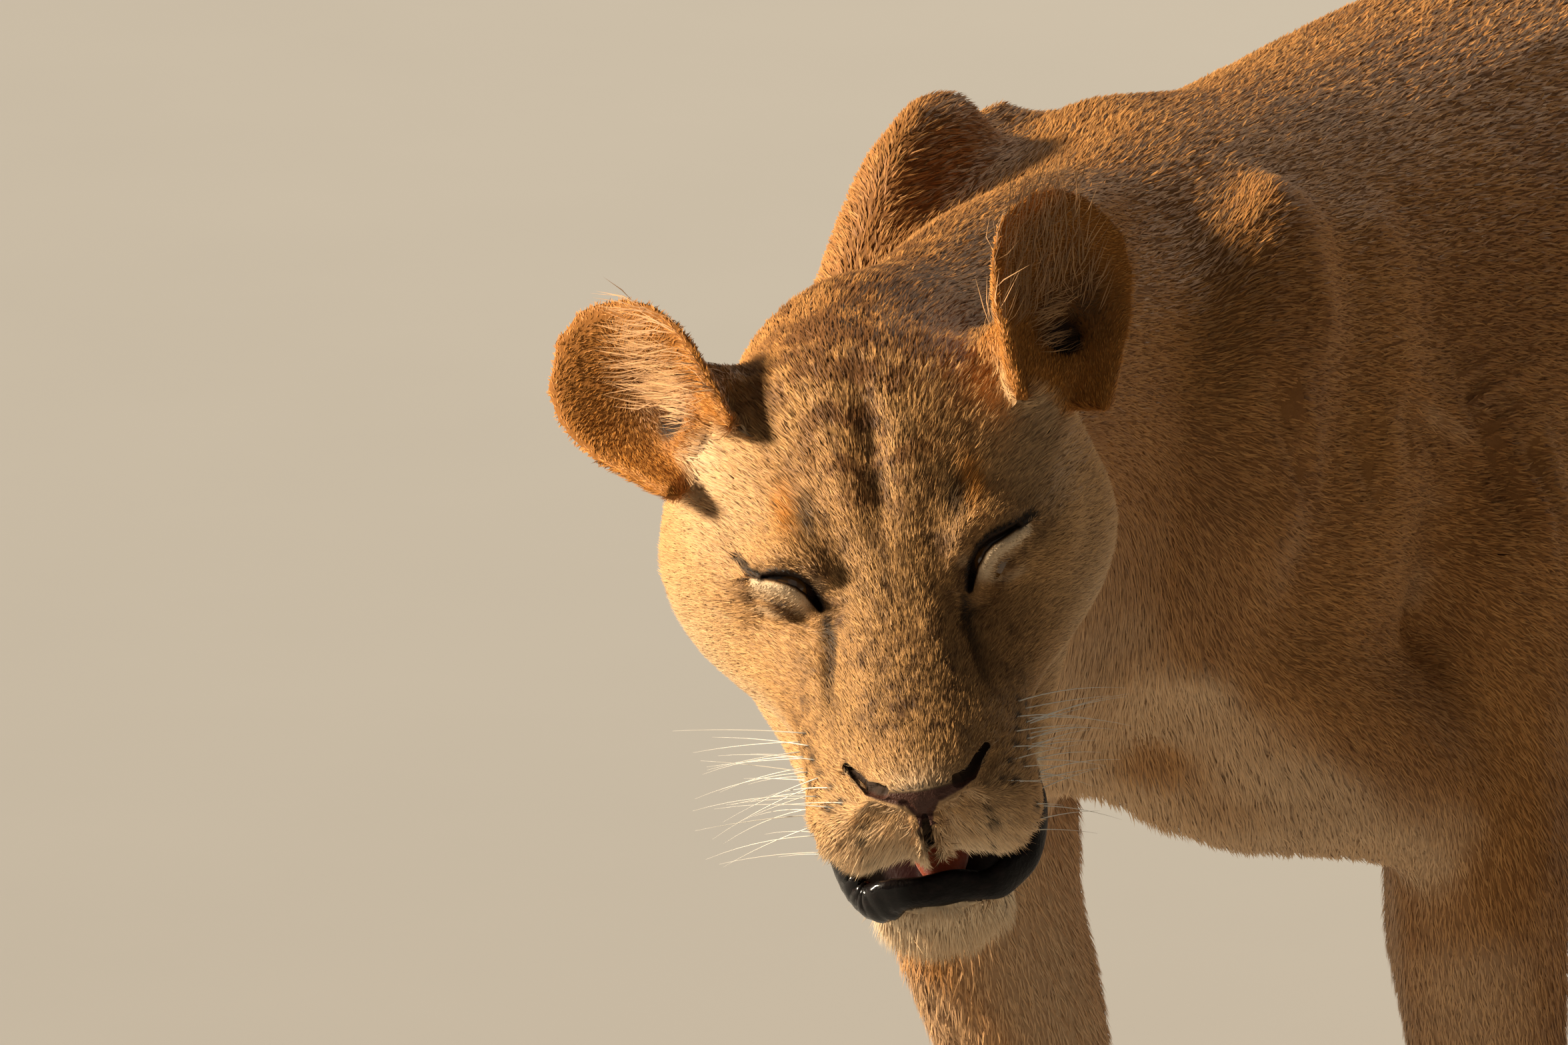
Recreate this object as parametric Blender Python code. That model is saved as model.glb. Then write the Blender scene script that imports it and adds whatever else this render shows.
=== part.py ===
"""A life-size lioness in mid-stride, her head turned to her left, as a still museum model.

Run it with:  blender --background --python part.py
Metres, +Z up. She faces -Y and her left side is +X. The origin lies on the floor, under the middle
of her bounding box. The solids reach to the tips of her coat.

The flesh is blocked out with lofted tubes and ellipsoid muscles, fused by a voxel remesh, smoothed,
and then parted into its named pieces by thin flat cuts.
"""

from math import atan2, cos, pi, radians, sin

import bmesh
import bpy
import numpy as np
from mathutils import Matrix, Vector

# ---- Driving sizes -------------------------------------------------------------------------------

BACK_HEIGHT = 0.898  # top of the back just behind the shoulder blades
BRISKET_HEIGHT = 0.502  # underside of the chest
RUMP_END = 0.555  # Y of the seat
BREAST_END = -0.625  # Y of the front of the chest
RIB_HALF_WIDTH = 0.172

HEAD_AT = Vector((0.145, -0.925, 0.775))  # midpoint between the inner corners of the eyes
HEAD_TURN = radians(36.2)  # to her left
HEAD_DROP = radians(30.6)  # muzzle below level
HEAD_TILT = radians(-10.2)  # her left ear is the higher one

VOXEL = 0.005
BLEND_PASSES = 14
TRIANGLES = 4300  # in the fused skin, before it is parted
SEAM = 0.0005  # gap left by each parting cut

TAWNY = (0.50, 0.29, 0.13)
PALE = (0.74, 0.58, 0.38)
BLACK = (0.02, 0.016, 0.014)
NOSE_PINK = (0.16, 0.07, 0.05)
TONGUE_RED = (0.50, 0.13, 0.09)
AMBER = (0.25, 0.12, 0.02)

HEAD = (
    Matrix.Translation(HEAD_AT)
    @ Matrix.Rotation(HEAD_TURN, 4, "Z")
    @ Matrix.Rotation(HEAD_DROP, 4, "X")
    @ Matrix.Rotation(HEAD_TILT, 4, "Y")
)
BODY = Matrix.Identity(4)
SIDES = {"left": 1, "right": -1}


# ---- Scene and materials -------------------------------------------------------------------------


def clear_scene():
    for obj in list(bpy.data.objects):
        bpy.data.objects.remove(obj, do_unlink=True)


def material(name, colour, roughness):
    made = bpy.data.materials.new(name)
    made.use_nodes = True
    shader = made.node_tree.nodes["Principled BSDF"]
    shader.inputs["Base Color"].default_value = (*colour, 1)
    shader.inputs["Roughness"].default_value = roughness
    shader.inputs["Metallic"].default_value = 0.0
    return made


def add_object(name, mesh, finish=None):
    obj = bpy.data.objects.new(name, mesh)
    bpy.context.scene.collection.objects.link(obj)
    if finish:
        mesh.materials.clear()
        mesh.materials.append(finish)
    return obj


def evaluated_mesh(obj, name):
    """The object's mesh with its modifiers applied, as a new mesh."""
    bpy.context.view_layer.update()
    graph = bpy.context.evaluated_depsgraph_get()
    made = bpy.data.meshes.new_from_object(obj.evaluated_get(graph))
    made.name = name
    return made


def remove_object(obj):
    bpy.data.objects.remove(obj, do_unlink=True)


# ---- Blocking-out tools --------------------------------------------------------------------------


def spline(stations, steps=4):
    """Catmull-Rom points through stations, each a tuple of numbers of one length."""
    rows = np.array(stations, float)
    ends = np.vstack([2 * rows[0] - rows[1], rows, 2 * rows[-1] - rows[-2]])
    made = []
    for a, b, c, d in zip(ends, ends[1:], ends[2:], ends[3:]):
        for t in np.linspace(0, 1, steps, endpoint=False):
            made.append(
                0.5 * (2 * b + (c - a) * t + (2 * a - 5 * b + 4 * c - d) * t**2)
                + 0.5 * (3 * b - 3 * c + d - a) * t**3
            )
    return made + [rows[-1]]


def tube(bm, stations, frame=BODY, across=(1, 0, 0), sides=28, steps=4):
    """A closed tube through stations (x, y, z, half width, height above, depth below the centre)."""
    rows = spline(stations, steps)
    centres = [frame @ Vector(row[:3]) for row in rows]
    across = frame.to_3x3() @ Vector(across)
    rings = []
    last_upward = Vector((0, -0.3, 1))
    for i, row in enumerate(rows):
        ahead = centres[min(i + 1, len(rows) - 1)] - centres[max(i - 1, 0)]
        upward = ahead.cross(across).normalized()
        upward *= 1 if upward.dot(last_upward) > 0 else -1
        last_upward = upward
        side = upward.cross(ahead).normalized()
        half_width, above, below = row[3:]
        ring = []
        for k in range(sides):
            turn = 2 * pi * k / sides
            rise = above if sin(turn) > 0 else below
            offset = side * half_width * cos(turn) + upward * rise * sin(turn)
            ring.append(bm.verts.new(centres[i] + offset))
        rings.append(ring)
    for lower, upper in zip(rings, rings[1:]):
        for k in range(sides):
            bm.faces.new((lower[k], lower[(k + 1) % sides], upper[(k + 1) % sides], upper[k]))
    bm.faces.new(rings[0][::-1])
    bm.faces.new(rings[-1])


def blob(bm, centre, radii, frame=BODY, turn=(0, 0, 0)):
    """An ellipsoid at centre in frame; turn is in degrees about its X, Y and Z."""
    spin = Matrix.Identity(4)
    for angle, axis in zip(turn, "XYZ"):
        spin = Matrix.Rotation(radians(angle), 4, axis) @ spin
    place = frame @ Matrix.Translation(centre) @ spin @ Matrix.Diagonal((*radii, 1))
    bmesh.ops.create_uvsphere(bm, u_segments=24, v_segments=16, radius=1, matrix=place)


def pair(bm, centre, radii, frame=BODY, turn=(0, 0, 0)):
    """The same ellipsoid on her left and mirrored on her right."""
    x, y, z = centre
    about_x, about_y, about_z = turn
    blob(bm, (x, y, z), radii, frame, turn)
    blob(bm, (-x, y, z), radii, frame, (about_x, -about_y, -about_z))


def muscle(bm, start, end, breadth, thickness, overrun=1.12):
    """A spindle from start to end: breadth lies fore and aft, thickness from side to side."""
    start, end = Vector(start), Vector(end)
    along = end - start
    third = along.normalized()
    lateral = (Vector((1, 0, 0)) - third * third.x).normalized()
    fore_aft = third.cross(lateral)
    turn = Matrix((lateral, fore_aft, third)).transposed().to_4x4()
    size = Matrix.Diagonal((thickness, breadth, along.length / 2 * overrun, 1))
    place = Matrix.Translation((start + end) / 2) @ turn @ size
    bmesh.ops.create_uvsphere(bm, u_segments=24, v_segments=16, radius=1, matrix=place)


# ---- Joints of the legs, from the stride ---------------------------------------------------------


def stride(side, back, blade, point, elbow, wrist, paw):
    """A foreleg's joints from (x, y, z) places on her left, whose paw trails by back."""
    places = {"blade": blade, "point": point, "elbow": elbow, "wrist": wrist, "paw": paw}
    placed = {name: Vector((side * x, y, z)) for name, (x, y, z) in places.items()}
    placed["wrist"].y += back
    placed["paw"].y += back
    return placed


def hindleg_joints(side, back):
    share = back / 0.15
    return {
        "hip": Vector((side * 0.098, 0.395, 0.725)),
        "stifle": Vector((side * 0.128, 0.262 + 0.055 * share, 0.445 - 0.025 * share)),
        "hock": Vector((side * 0.104, 0.490 + 0.110 * share, 0.250 + 0.020 * share)),
        "ankle": Vector((side * 0.094, 0.455 + back, 0.070)),
        "paw": Vector((side * 0.090, 0.420 + back, 0.0)),
    }


# Her right foreleg bears her weight under a raised blade; her left one trails.
FORELEGS = {
    "left": stride(
        side=1,
        back=0.16,
        blade=(0.085, -0.375, 0.870),
        point=(0.100, -0.555, 0.620),
        elbow=(0.138, -0.245, 0.478),
        wrist=(0.116, -0.320, 0.165),
        paw=(0.110, -0.350, 0.0),
    ),
    "right": stride(
        side=-1,
        back=0.0,
        blade=(0.092, -0.440, 0.918),
        point=(0.094, -0.560, 0.630),
        elbow=(0.104, -0.375, 0.445),
        wrist=(0.060, -0.325, 0.165),
        paw=(0.052, -0.355, 0.0),
    ),
}
HINDLEGS = {"left": hindleg_joints(1, -0.14), "right": hindleg_joints(-1, 0.13)}


# ---- Trunk and neck ------------------------------------------------------------------------------


def trunk_station(y, top, bottom, half_width):
    """A rib-cage section: its widest line lies a little above the middle of its depth."""
    middle = bottom + 0.52 * (top - bottom)
    return (0, y, middle, half_width, top - middle, middle - bottom)


def add_trunk(bm):
    loin = BACK_HEIGHT + 0.006
    tube(
        bm,
        [
            trunk_station(BREAST_END, 0.735, 0.600, 0.045),
            trunk_station(-0.565, 0.820, 0.530, 0.098),
            trunk_station(-0.430, BACK_HEIGHT, BRISKET_HEIGHT + 0.012, 0.132),
            trunk_station(-0.270, BACK_HEIGHT, BRISKET_HEIGHT - 0.008, 0.155),
            trunk_station(-0.070, BACK_HEIGHT - 0.004, BRISKET_HEIGHT - 0.014, RIB_HALF_WIDTH),
            trunk_station(0.100, BACK_HEIGHT, BRISKET_HEIGHT + 0.008, 0.166),
            trunk_station(0.235, loin, 0.522, 0.150),
            trunk_station(0.370, loin - 0.006, 0.590, 0.142),
            trunk_station(0.485, 0.866, 0.665, 0.106),
            trunk_station(RUMP_END, 0.805, 0.715, 0.050),
        ],
    )
    # The long muscles beside the spine, from the withers to the croup.
    for side in SIDES.values():
        muscle(bm, (side * 0.045, -0.36, 0.846), (side * 0.050, 0.34, 0.850), 0.042, 0.048)
    # The withers between and behind the blades.
    blob(bm, (-0.030, -0.350, 0.847), (0.075, 0.110, 0.056))
    # The loose skin of the belly and the fold in front of the thigh.
    blob(bm, (0, 0.06, 0.515), (0.085, 0.26, 0.045))
    for side, joints in zip(SIDES.values(), HINDLEGS.values()):
        muscle(bm, (side * 0.105, 0.16, 0.52), joints["stifle"] + Vector((0, -0.01, 0.04)), 0.05, 0.028)


def add_neck(bm):
    nape = HEAD @ Vector((0, 0.150, -0.045))
    tube(
        bm,
        [
            (0.000, -0.36, 0.700, 0.118, 0.175, 0.165),
            (0.006, -0.50, 0.715, 0.118, 0.172, 0.168),
            (0.030, -0.62, 0.745, 0.104, 0.146, 0.150),
            (0.058, -0.730, 0.780, 0.094, 0.120, 0.128),
            (*nape, 0.088, 0.104, 0.104),
            (*(HEAD @ Vector((0, 0.075, -0.040))), 0.078, 0.090, 0.080),
        ],
    )
    # Throat to breast, and the crest of the nape.
    throat = HEAD @ Vector((0, 0.100, -0.085))
    muscle(bm, throat, (0.004, -0.570, 0.590), 0.055, 0.060)
    muscle(bm, HEAD @ Vector((0, 0.150, 0.020)), (0.0, -0.44, 0.866), 0.045, 0.055)
    # The straps that run from behind each ear to the point of the shoulder.
    for name, side in SIDES.items():
        behind_ear = HEAD @ Vector((side * 0.055, 0.150, -0.035))
        muscle(bm, behind_ear, FORELEGS[name]["point"] + Vector((-side * 0.025, 0.03, 0.08)), 0.070, 0.046)


def tail_stations(first, last):
    return [(*centre, r, r, r) for centre, r in zip(TAIL_LINE[first:last], TAIL_RADII[first:last])]


def tail_mesh(name, first, last):
    """The tail from one station to another, as a closed tube."""
    bm = bmesh.new()
    tube(bm, tail_stations(first, last), sides=10, steps=2)
    bmesh.ops.recalc_face_normals(bm, faces=bm.faces)
    mesh = bpy.data.meshes.new(name)
    bm.to_mesh(mesh)
    bm.free()
    mesh.shade_smooth()
    return mesh


TAIL_LINE = [
    (0.000, 0.470, 0.805),
    (0.000, 0.555, 0.780),
    (-0.004, 0.625, 0.700),
    (-0.012, 0.665, 0.590),
    (-0.024, 0.685, 0.470),
    (-0.036, 0.705, 0.360),
    (-0.046, 0.745, 0.270),
    (-0.054, 0.800, 0.215),
    (-0.060, 0.860, 0.195),
    (-0.064, 0.915, 0.200),
    (-0.067, 0.955, 0.212),
]
TAIL_RADII = [0.050, 0.038, 0.027, 0.0225, 0.0195, 0.0180, 0.0170, 0.0185, 0.0290, 0.0270, 0.0080]
TAIL_FROM = 2  # the station where the tail leaves the trunk
TUFT_FROM = 7  # the station where the tuft starts


# ---- Legs and paws -------------------------------------------------------------------------------


def limb_station(at, fore_aft, lateral):
    return (*at, lateral, fore_aft, fore_aft)


def add_paw(bm, at, heading, half_width, length, height):
    """A broad cat's foot: a domed back, four toes in an arc, and the pad under them."""
    frame = Matrix.Translation(at) @ Matrix.Rotation(heading, 4, "Z")
    blob(bm, (0, 0.012, 0.036), (half_width * 0.90, length * 0.46, height * 0.78), frame)
    blob(bm, (0, 0.030, 0.014), (half_width * 0.72, length * 0.34, 0.020), frame)
    for place, ahead in zip((-0.75, -0.26, 0.26, 0.75), (0.0, -0.021, -0.021, 0.0)):
        toe = (place * half_width, -length * 0.32 + ahead, 0.027)
        blob(bm, toe, (half_width * 0.30, 0.036, 0.031), frame, turn=(8, 0, -place * 14))
        blob(bm, (toe[0], toe[1] - 0.012, 0.010), (half_width * 0.24, 0.024, 0.016), frame)


def add_foreleg(bm, side, joints):
    blade, point, elbow, wrist, paw = (joints[k] for k in ("blade", "point", "elbow", "wrist", "paw"))
    out = Vector((side, 0, 0))
    # The blade with its two muscles, and the spine of the blade between them.
    muscle(bm, blade, point + out * 0.010, 0.085, 0.052, overrun=1.04)
    rear_edge = blade + Vector((side * 0.012, 0.070, -0.035))
    muscle(bm, rear_edge, point.lerp(elbow, 0.35) + out * 0.014, 0.085, 0.046)
    muscle(bm, blade.lerp(point, 0.05) + out * 0.020, blade.lerp(point, 0.75) + out * 0.036, 0.018, 0.024)
    # The point of the shoulder, the upper arm and the triceps behind it.
    muscle(bm, point + Vector((0, 0.02, 0.03)), elbow + out * 0.002, 0.066, 0.056)
    triceps_top = blade.lerp(elbow, 0.42) + Vector((side * 0.030, 0.075, 0))
    muscle(bm, triceps_top, elbow + Vector((side * 0.006, 0.016, 0.0)), 0.078, 0.052)
    breast = Vector((side * 0.05, point.y + 0.03, point.z - 0.05))
    muscle(bm, breast, elbow + Vector((0, 0, 0.03)), 0.058, 0.056)
    middle = elbow.lerp(wrist, 0.5)
    tube(
        bm,
        [
            limb_station(elbow + Vector((0, 0.004, 0.055)), 0.064, 0.052),
            limb_station(elbow + Vector((0, -0.004, -0.02)), 0.069, 0.057),
            limb_station(elbow.lerp(wrist, 0.28) + Vector((0, -0.008, 0)), 0.063, 0.056),
            limb_station(middle + Vector((0, -0.004, 0)), 0.052, 0.050),
            limb_station(elbow.lerp(wrist, 0.80), 0.041, 0.042),
            limb_station(wrist, 0.041, 0.045),
            limb_station(wrist.lerp(paw, 0.45) + Vector((0, -0.004, 0)), 0.040, 0.048),
            limb_station(wrist.lerp(paw, 0.78) + Vector((0, -0.006, 0)), 0.036, 0.046),
        ],
        across=(1, 0, 0),
    )
    blob(bm, elbow + Vector((0, 0.052, 0.012)), (0.030, 0.030, 0.040))
    blob(bm, wrist + Vector((0, 0.034, -0.012)), (0.020, 0.018, 0.024))
    add_paw(bm, paw, radians(6 * side), 0.058, 0.150, 0.074)


def add_hindleg(bm, side, joints):
    hip, stifle, hock, ankle, paw = (joints[k] for k in ("hip", "stifle", "hock", "ankle", "paw"))
    out = Vector((side, 0, 0))
    # The thigh: a broad front muscle, the long hamstrings behind it, and the buttock.
    muscle(bm, hip + Vector((0, -0.055, 0.055)), stifle + Vector((0, 0.015, 0.01)), 0.100, 0.054)
    muscle(bm, hip + Vector((0, 0.045, 0.035)), stifle.lerp(hock, 0.30), 0.094, 0.056)
    calf = stifle.lerp(hock, 0.52) + Vector((0, -0.005, 0.02))
    muscle(bm, hip + Vector((0, 0.105, 0.0)), calf, 0.060, 0.046)
    blob(bm, hip + Vector((side * -0.012, -0.010, 0.075)), (0.072, 0.130, 0.075), turn=(-8, 0, 0))
    blob(bm, stifle + Vector((0, -0.006, 0.012)) - out * 0.002, (0.046, 0.050, 0.056))
    tube(
        bm,
        [
            limb_station(stifle + Vector((0, 0.045, 0.055)), 0.084, 0.054),
            limb_station(stifle.lerp(hock, 0.28), 0.072, 0.052),
            limb_station(stifle.lerp(hock, 0.62), 0.053, 0.042),
            limb_station(stifle.lerp(hock, 0.90), 0.040, 0.036),
            limb_station(hock, 0.042, 0.036),
        ],
    )
    heel = hock + Vector((0, 0.032, 0.022))
    muscle(bm, stifle.lerp(hock, 0.55) + Vector((0, 0.055, 0.02)), heel, 0.016, 0.015)
    blob(bm, heel + Vector((0, -0.004, -0.012)), (0.025, 0.024, 0.030))
    tube(
        bm,
        [
            limb_station(hock + Vector((0, 0.004, 0.012)), 0.042, 0.036),
            limb_station(hock.lerp(ankle, 0.35), 0.038, 0.035),
            limb_station(hock.lerp(ankle, 0.75), 0.037, 0.038),
            limb_station(ankle, 0.038, 0.042),
            limb_station(ankle.lerp(paw, 0.55), 0.038, 0.044),
        ],
    )
    add_paw(bm, paw, radians(5 * side), 0.051, 0.138, 0.066)


# ---- Head ----------------------------------------------------------------------------------------
# In the head's frame X is her left, Y runs back from between the eyes, and Z is up.

EYE_RADIUS = 0.0175
EYE_CENTRE = (0.0530, 0.0215, 0.0020)
MOUTH_GAP_AT = -0.098  # Z of the gap between the lips at the front
CHIN_AT = (0, -0.086, -0.143)
FACE_LEVEL = -0.045  # Z where the face is widest


def face_station(y, top, bottom, half_width):
    return (0, y, FACE_LEVEL, half_width, top - FACE_LEVEL, FACE_LEVEL - bottom)


def add_skull(bm):
    # One wedge from the lips to the back of the skull.
    tube(
        bm,
        [
            face_station(-0.126, -0.014, -0.068, 0.026),
            face_station(-0.110, -0.006, -0.080, 0.044),
            face_station(-0.080, -0.001, -0.084, 0.058),
            face_station(-0.045, 0.002, -0.086, 0.061),
            face_station(-0.018, 0.006, -0.094, 0.072),
            face_station(0.012, 0.016, -0.104, 0.092),
            face_station(0.050, 0.040, -0.118, 0.113),
            face_station(0.090, 0.060, -0.128, 0.121),
            face_station(0.130, 0.064, -0.120, 0.108),
            face_station(0.165, 0.050, -0.100, 0.080),
        ],
        frame=HEAD,
        sides=36,
    )
    # The flat bridge of the nose, running up into the forehead.
    tube(
        bm,
        [
            (0, 0.070, 0.018, 0.060, 0.034, 0.040),
            (0, 0.030, 0.002, 0.048, 0.030, 0.040),
            (0, 0.000, -0.010, 0.038, 0.027, 0.040),
            (0, -0.045, -0.018, 0.035, 0.026, 0.040),
            (0, -0.090, -0.024, 0.036, 0.025, 0.036),
            (0, -0.120, -0.028, 0.033, 0.022, 0.022),
        ],
        frame=HEAD,
    )
    pair(bm, (0.033, -0.089, -0.055), (0.029, 0.044, 0.032), HEAD, turn=(0, 0, 8))  # whisker pads
    pair(bm, (0.052, 0.030, 0.014), (0.028, 0.030, 0.013), HEAD, turn=(0, 16, 0))  # brows
    pair(bm, (0.078, 0.056, -0.014), (0.028, 0.052, 0.030), HEAD, turn=(0, 0, -16))  # outer eye sockets
    pair(bm, (0.046, -0.004, -0.026), (0.022, 0.040, 0.020), HEAD, turn=(0, 0, -24))  # under the eyes
    pair(bm, (0.080, 0.128, 0.020), (0.034, 0.034, 0.032), HEAD)  # roots of the ears
    blob(bm, (0, -0.114, -0.026), (0.036, 0.022, 0.020), HEAD)  # nose
    blob(bm, (0, -0.114, -0.046), (0.020, 0.020, 0.020), HEAD)  # below the nose


def add_jaw(bm):
    """The lower jaw, dropped a little, with its lip, its chin and the two sides running back."""
    blob(bm, CHIN_AT, (0.038, 0.031, 0.027), HEAD)
    blob(bm, (0, -0.082, -0.122), (0.043, 0.036, 0.012), HEAD)  # lip
    for side in SIDES.values():
        tube(
            bm,
            [
                (side * 0.014, -0.086, -0.136, 0.022, 0.018, 0.028),
                (side * 0.030, -0.046, -0.126, 0.023, 0.022, 0.030),
                (side * 0.043, 0.004, -0.113, 0.024, 0.028, 0.034),
                (side * 0.054, 0.060, -0.102, 0.034, 0.036, 0.042),
            ],
            frame=HEAD,
        )
    blob(bm, (0, 0.010, -0.116), (0.046, 0.092, 0.038), HEAD, turn=(8, 0, 0))  # floor of the mouth
    blob(bm, (0, 0.006, -0.080), (0.056, 0.050, 0.040), HEAD)  # the mouth's closed back


# ---- Fusing, sculpting and thinning the flesh ----------------------------------------------------


def fuse(name, bm):
    """The joined shapes as one skin: a voxel remesh of their union."""
    mesh = bpy.data.meshes.new(name)
    bm.to_mesh(mesh)
    bm.free()
    obj = add_object(name, mesh)
    remesh = obj.modifiers.new("Fuse", "REMESH")
    remesh.mode = "VOXEL"
    remesh.voxel_size = VOXEL
    remesh.adaptivity = 0
    fused = evaluated_mesh(obj, name)
    remove_object(obj)
    return add_object(name, fused)


def coordinates(mesh):
    flat = np.empty(len(mesh.vertices) * 3)
    mesh.vertices.foreach_get("co", flat)
    return flat.reshape(-1, 3)


def weigh(obj, group, weights):
    made = obj.vertex_groups.new(name=group)
    steps = np.round(np.asarray(weights) * 20).astype(int)
    for step in range(21):
        made.add(np.flatnonzero(steps == step).tolist(), step / 20, "REPLACE")


def near_head(points, reach=0.30):
    """1 in the head, falling to 0 a reach away from the middle of it."""
    distance = np.linalg.norm(points - np.array(HEAD @ Vector((0, 0.02, -0.04))), axis=1)
    return np.clip((reach - distance) / (reach - 0.19), 0, 1)


def near_paws(points):
    return np.clip((0.12 - points[:, 2]) / 0.04, 0, 1)


def soften(obj):
    """Blends the muscles into each other, and leaves the head and paws crisper."""
    points = coordinates(obj.data)
    crisp = np.maximum(near_head(points), near_paws(points))
    weigh(obj, "soft", 1.0 - 0.72 * crisp)
    smooth = obj.modifiers.new("Blend", "SMOOTH")
    smooth.factor = 0.6
    smooth.iterations = BLEND_PASSES
    smooth.vertex_group = "soft"
    mesh = evaluated_mesh(obj, obj.name)
    name = obj.name
    remove_object(obj)
    return add_object(name, mesh)


def push(points, frame, centre, reach, move):
    """Moves points near centre by move, in frame, with a smooth falloff at reach (one per axis)."""
    local = (points - np.array(frame.translation)) @ np.array(frame.to_3x3())
    gap = (local - np.array(centre)) / np.array(reach)
    share = np.exp(-(gap**2).sum(axis=1))
    return points + share[:, None] * (np.array(frame.to_3x3()) @ np.array(move))


def sculpt_head(points):
    for side in SIDES.values():
        socket = (side * 0.053, 0.004, 0.000)
        points = push(points, HEAD, socket, (0.022, 0.022, 0.014), (-side * 0.002, 0.009, -0.001))
        tear = (side * 0.036, -0.018, -0.006)
        points = push(points, HEAD, tear, (0.010, 0.030, 0.012), (0, 0.002, -0.004))
        nostril = (side * 0.024, -0.134, -0.026)
        points = push(points, HEAD, nostril, (0.008, 0.012, 0.008), (0, 0.007, 0))
    points = push(points, HEAD, (0, 0.050, 0.050), (0.012, 0.050, 0.020), (0, 0, -0.0035))
    points = push(points, HEAD, (0, -0.130, -0.064), (0.006, 0.018, 0.020), (0, 0.006, 0.004))
    return points


def thin(obj, triangles):
    """Fewer, larger triangles, with more of them left in the head and the paws."""
    points = coordinates(obj.data)
    fine = np.maximum(near_head(points, 0.28), 0.55 * near_paws(points))
    weigh(obj, "coarse", 1.0 - 0.42 * fine)
    thinning = obj.modifiers.new("Thin", "DECIMATE")
    thinning.decimate_type = "COLLAPSE"
    thinning.use_collapse_triangulate = True
    thinning.vertex_group = "coarse"
    thinning.vertex_group_factor = 1.0
    obj.data.calc_loop_triangles()
    thinning.ratio = triangles / len(obj.data.loop_triangles)
    mesh = evaluated_mesh(obj, obj.name)
    name = obj.name
    remove_object(obj)
    return add_object(name, mesh)


# ---- Parting -------------------------------------------------------------------------------------


def hide(obj):
    obj.hide_render = True
    obj.display_type = "WIRE"
    return obj


def box(name, low, high, frame=BODY, grow=0.0):
    """A hidden cutter: the box from low to high in frame, grown on all sides."""
    low = Vector(low) - Vector((grow,) * 3)
    high = Vector(high) + Vector((grow,) * 3)
    bm = bmesh.new()
    size = Matrix.Diagonal((*(high - low), 1))
    bmesh.ops.create_cube(bm, size=1, matrix=frame @ Matrix.Translation((low + high) / 2) @ size)
    mesh = bpy.data.meshes.new(name)
    bm.to_mesh(mesh)
    bm.free()
    return hide(add_object(name, mesh))


def boolean(mesh, cutter, operation):
    """The mesh after one Boolean with the cutter. Where EXACT leaves nothing, MANIFOLD cuts it."""
    for solver in ("EXACT", "MANIFOLD"):
        obj = add_object("boolean_work", mesh)
        cut = obj.modifiers.new("Cut", "BOOLEAN")
        cut.operation = operation
        cut.solver = solver
        cut.object = cutter
        made = evaluated_mesh(obj, mesh.name)
        remove_object(obj)
        if made.polygons:
            break
    return made


def part_off(rest, name, finish, low, high, frame=BODY):
    """Cuts the box's share of rest off as its own object, and returns what is left of rest."""
    inside = box("cutter_inside", low, high, frame)
    piece = boolean(rest, inside, "INTERSECT")
    around = box("cutter_around", low, high, frame, grow=SEAM)
    left = boolean(rest, around, "DIFFERENCE")
    for cutter in (inside, around):
        remove_object(cutter)
    piece.name = name
    add_object(name, piece, finish)
    return left


def part_off_blob(rest, name, finish, centre, radii, frame):
    """Like part_off, with an ellipsoid for the cutter."""
    cutters = []
    for grow in (0.0, SEAM):
        bm = bmesh.new()
        blob(bm, centre, [r + grow for r in radii], frame)
        mesh = bpy.data.meshes.new("cutter_blob")
        bm.to_mesh(mesh)
        bm.free()
        cutters.append(hide(add_object("cutter_blob", mesh)))
    add_object(name, boolean(rest, cutters[0], "INTERSECT"), finish).data.name = name
    left = boolean(rest, cutters[1], "DIFFERENCE")
    for cutter in cutters:
        remove_object(cutter)
    return left


def facing(point, heading, frame=BODY):
    """A frame at point whose Z runs along heading."""
    turn = Vector(heading).to_track_quat("Z", "Y").to_matrix().to_4x4()
    return frame @ Matrix.Translation(point) @ turn


def beyond(rest, name, finish, point, heading, half_width, depth, frame=BODY):
    """Parts off all that lies beyond a plane through point, as far as depth along heading."""
    low, high = (-half_width, -half_width, 0), (half_width, half_width, depth)
    return part_off(rest, name, finish, low, high, facing(point, heading, frame))


def trim(rest, low, high, frame=BODY):
    """Rest without what lies in the box."""
    cutter = box("cutter_trim", low, high, frame)
    left = boolean(rest, cutter, "DIFFERENCE")
    remove_object(cutter)
    return left


def part_tail(rest, tawny, black):
    """The tail and its tuft, and the trunk trimmed to where the tail leaves it."""
    start, tuft = Vector(TAIL_LINE[TAIL_FROM]), Vector(TAIL_LINE[TUFT_FROM])
    heading = tail_heading(TAIL_FROM)
    whole = tail_mesh("tail", TAIL_FROM - 1, len(TAIL_LINE))
    whole = beyond(whole, "tail_tuft", black, tuft, tail_heading(TUFT_FROM), 0.1, 0.3)
    beyond(whole, "tail", tawny, start + heading.normalized() * SEAM, heading, 0.3, 0.9)
    return trim(rest, (-0.06, -0.06, 0), (0.06, 0.06, 0.2), facing(start, heading))


def tail_heading(station):
    return Vector(TAIL_LINE[station + 1]) - Vector(TAIL_LINE[station])


def mouth_frame():
    """The plane of the gap between the lips, from its front edge back to the angle of the jaw."""
    return HEAD @ Matrix.Translation((0, -0.090, MOUTH_GAP_AT)) @ Matrix.Rotation(radians(4), 4, "X")


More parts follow.
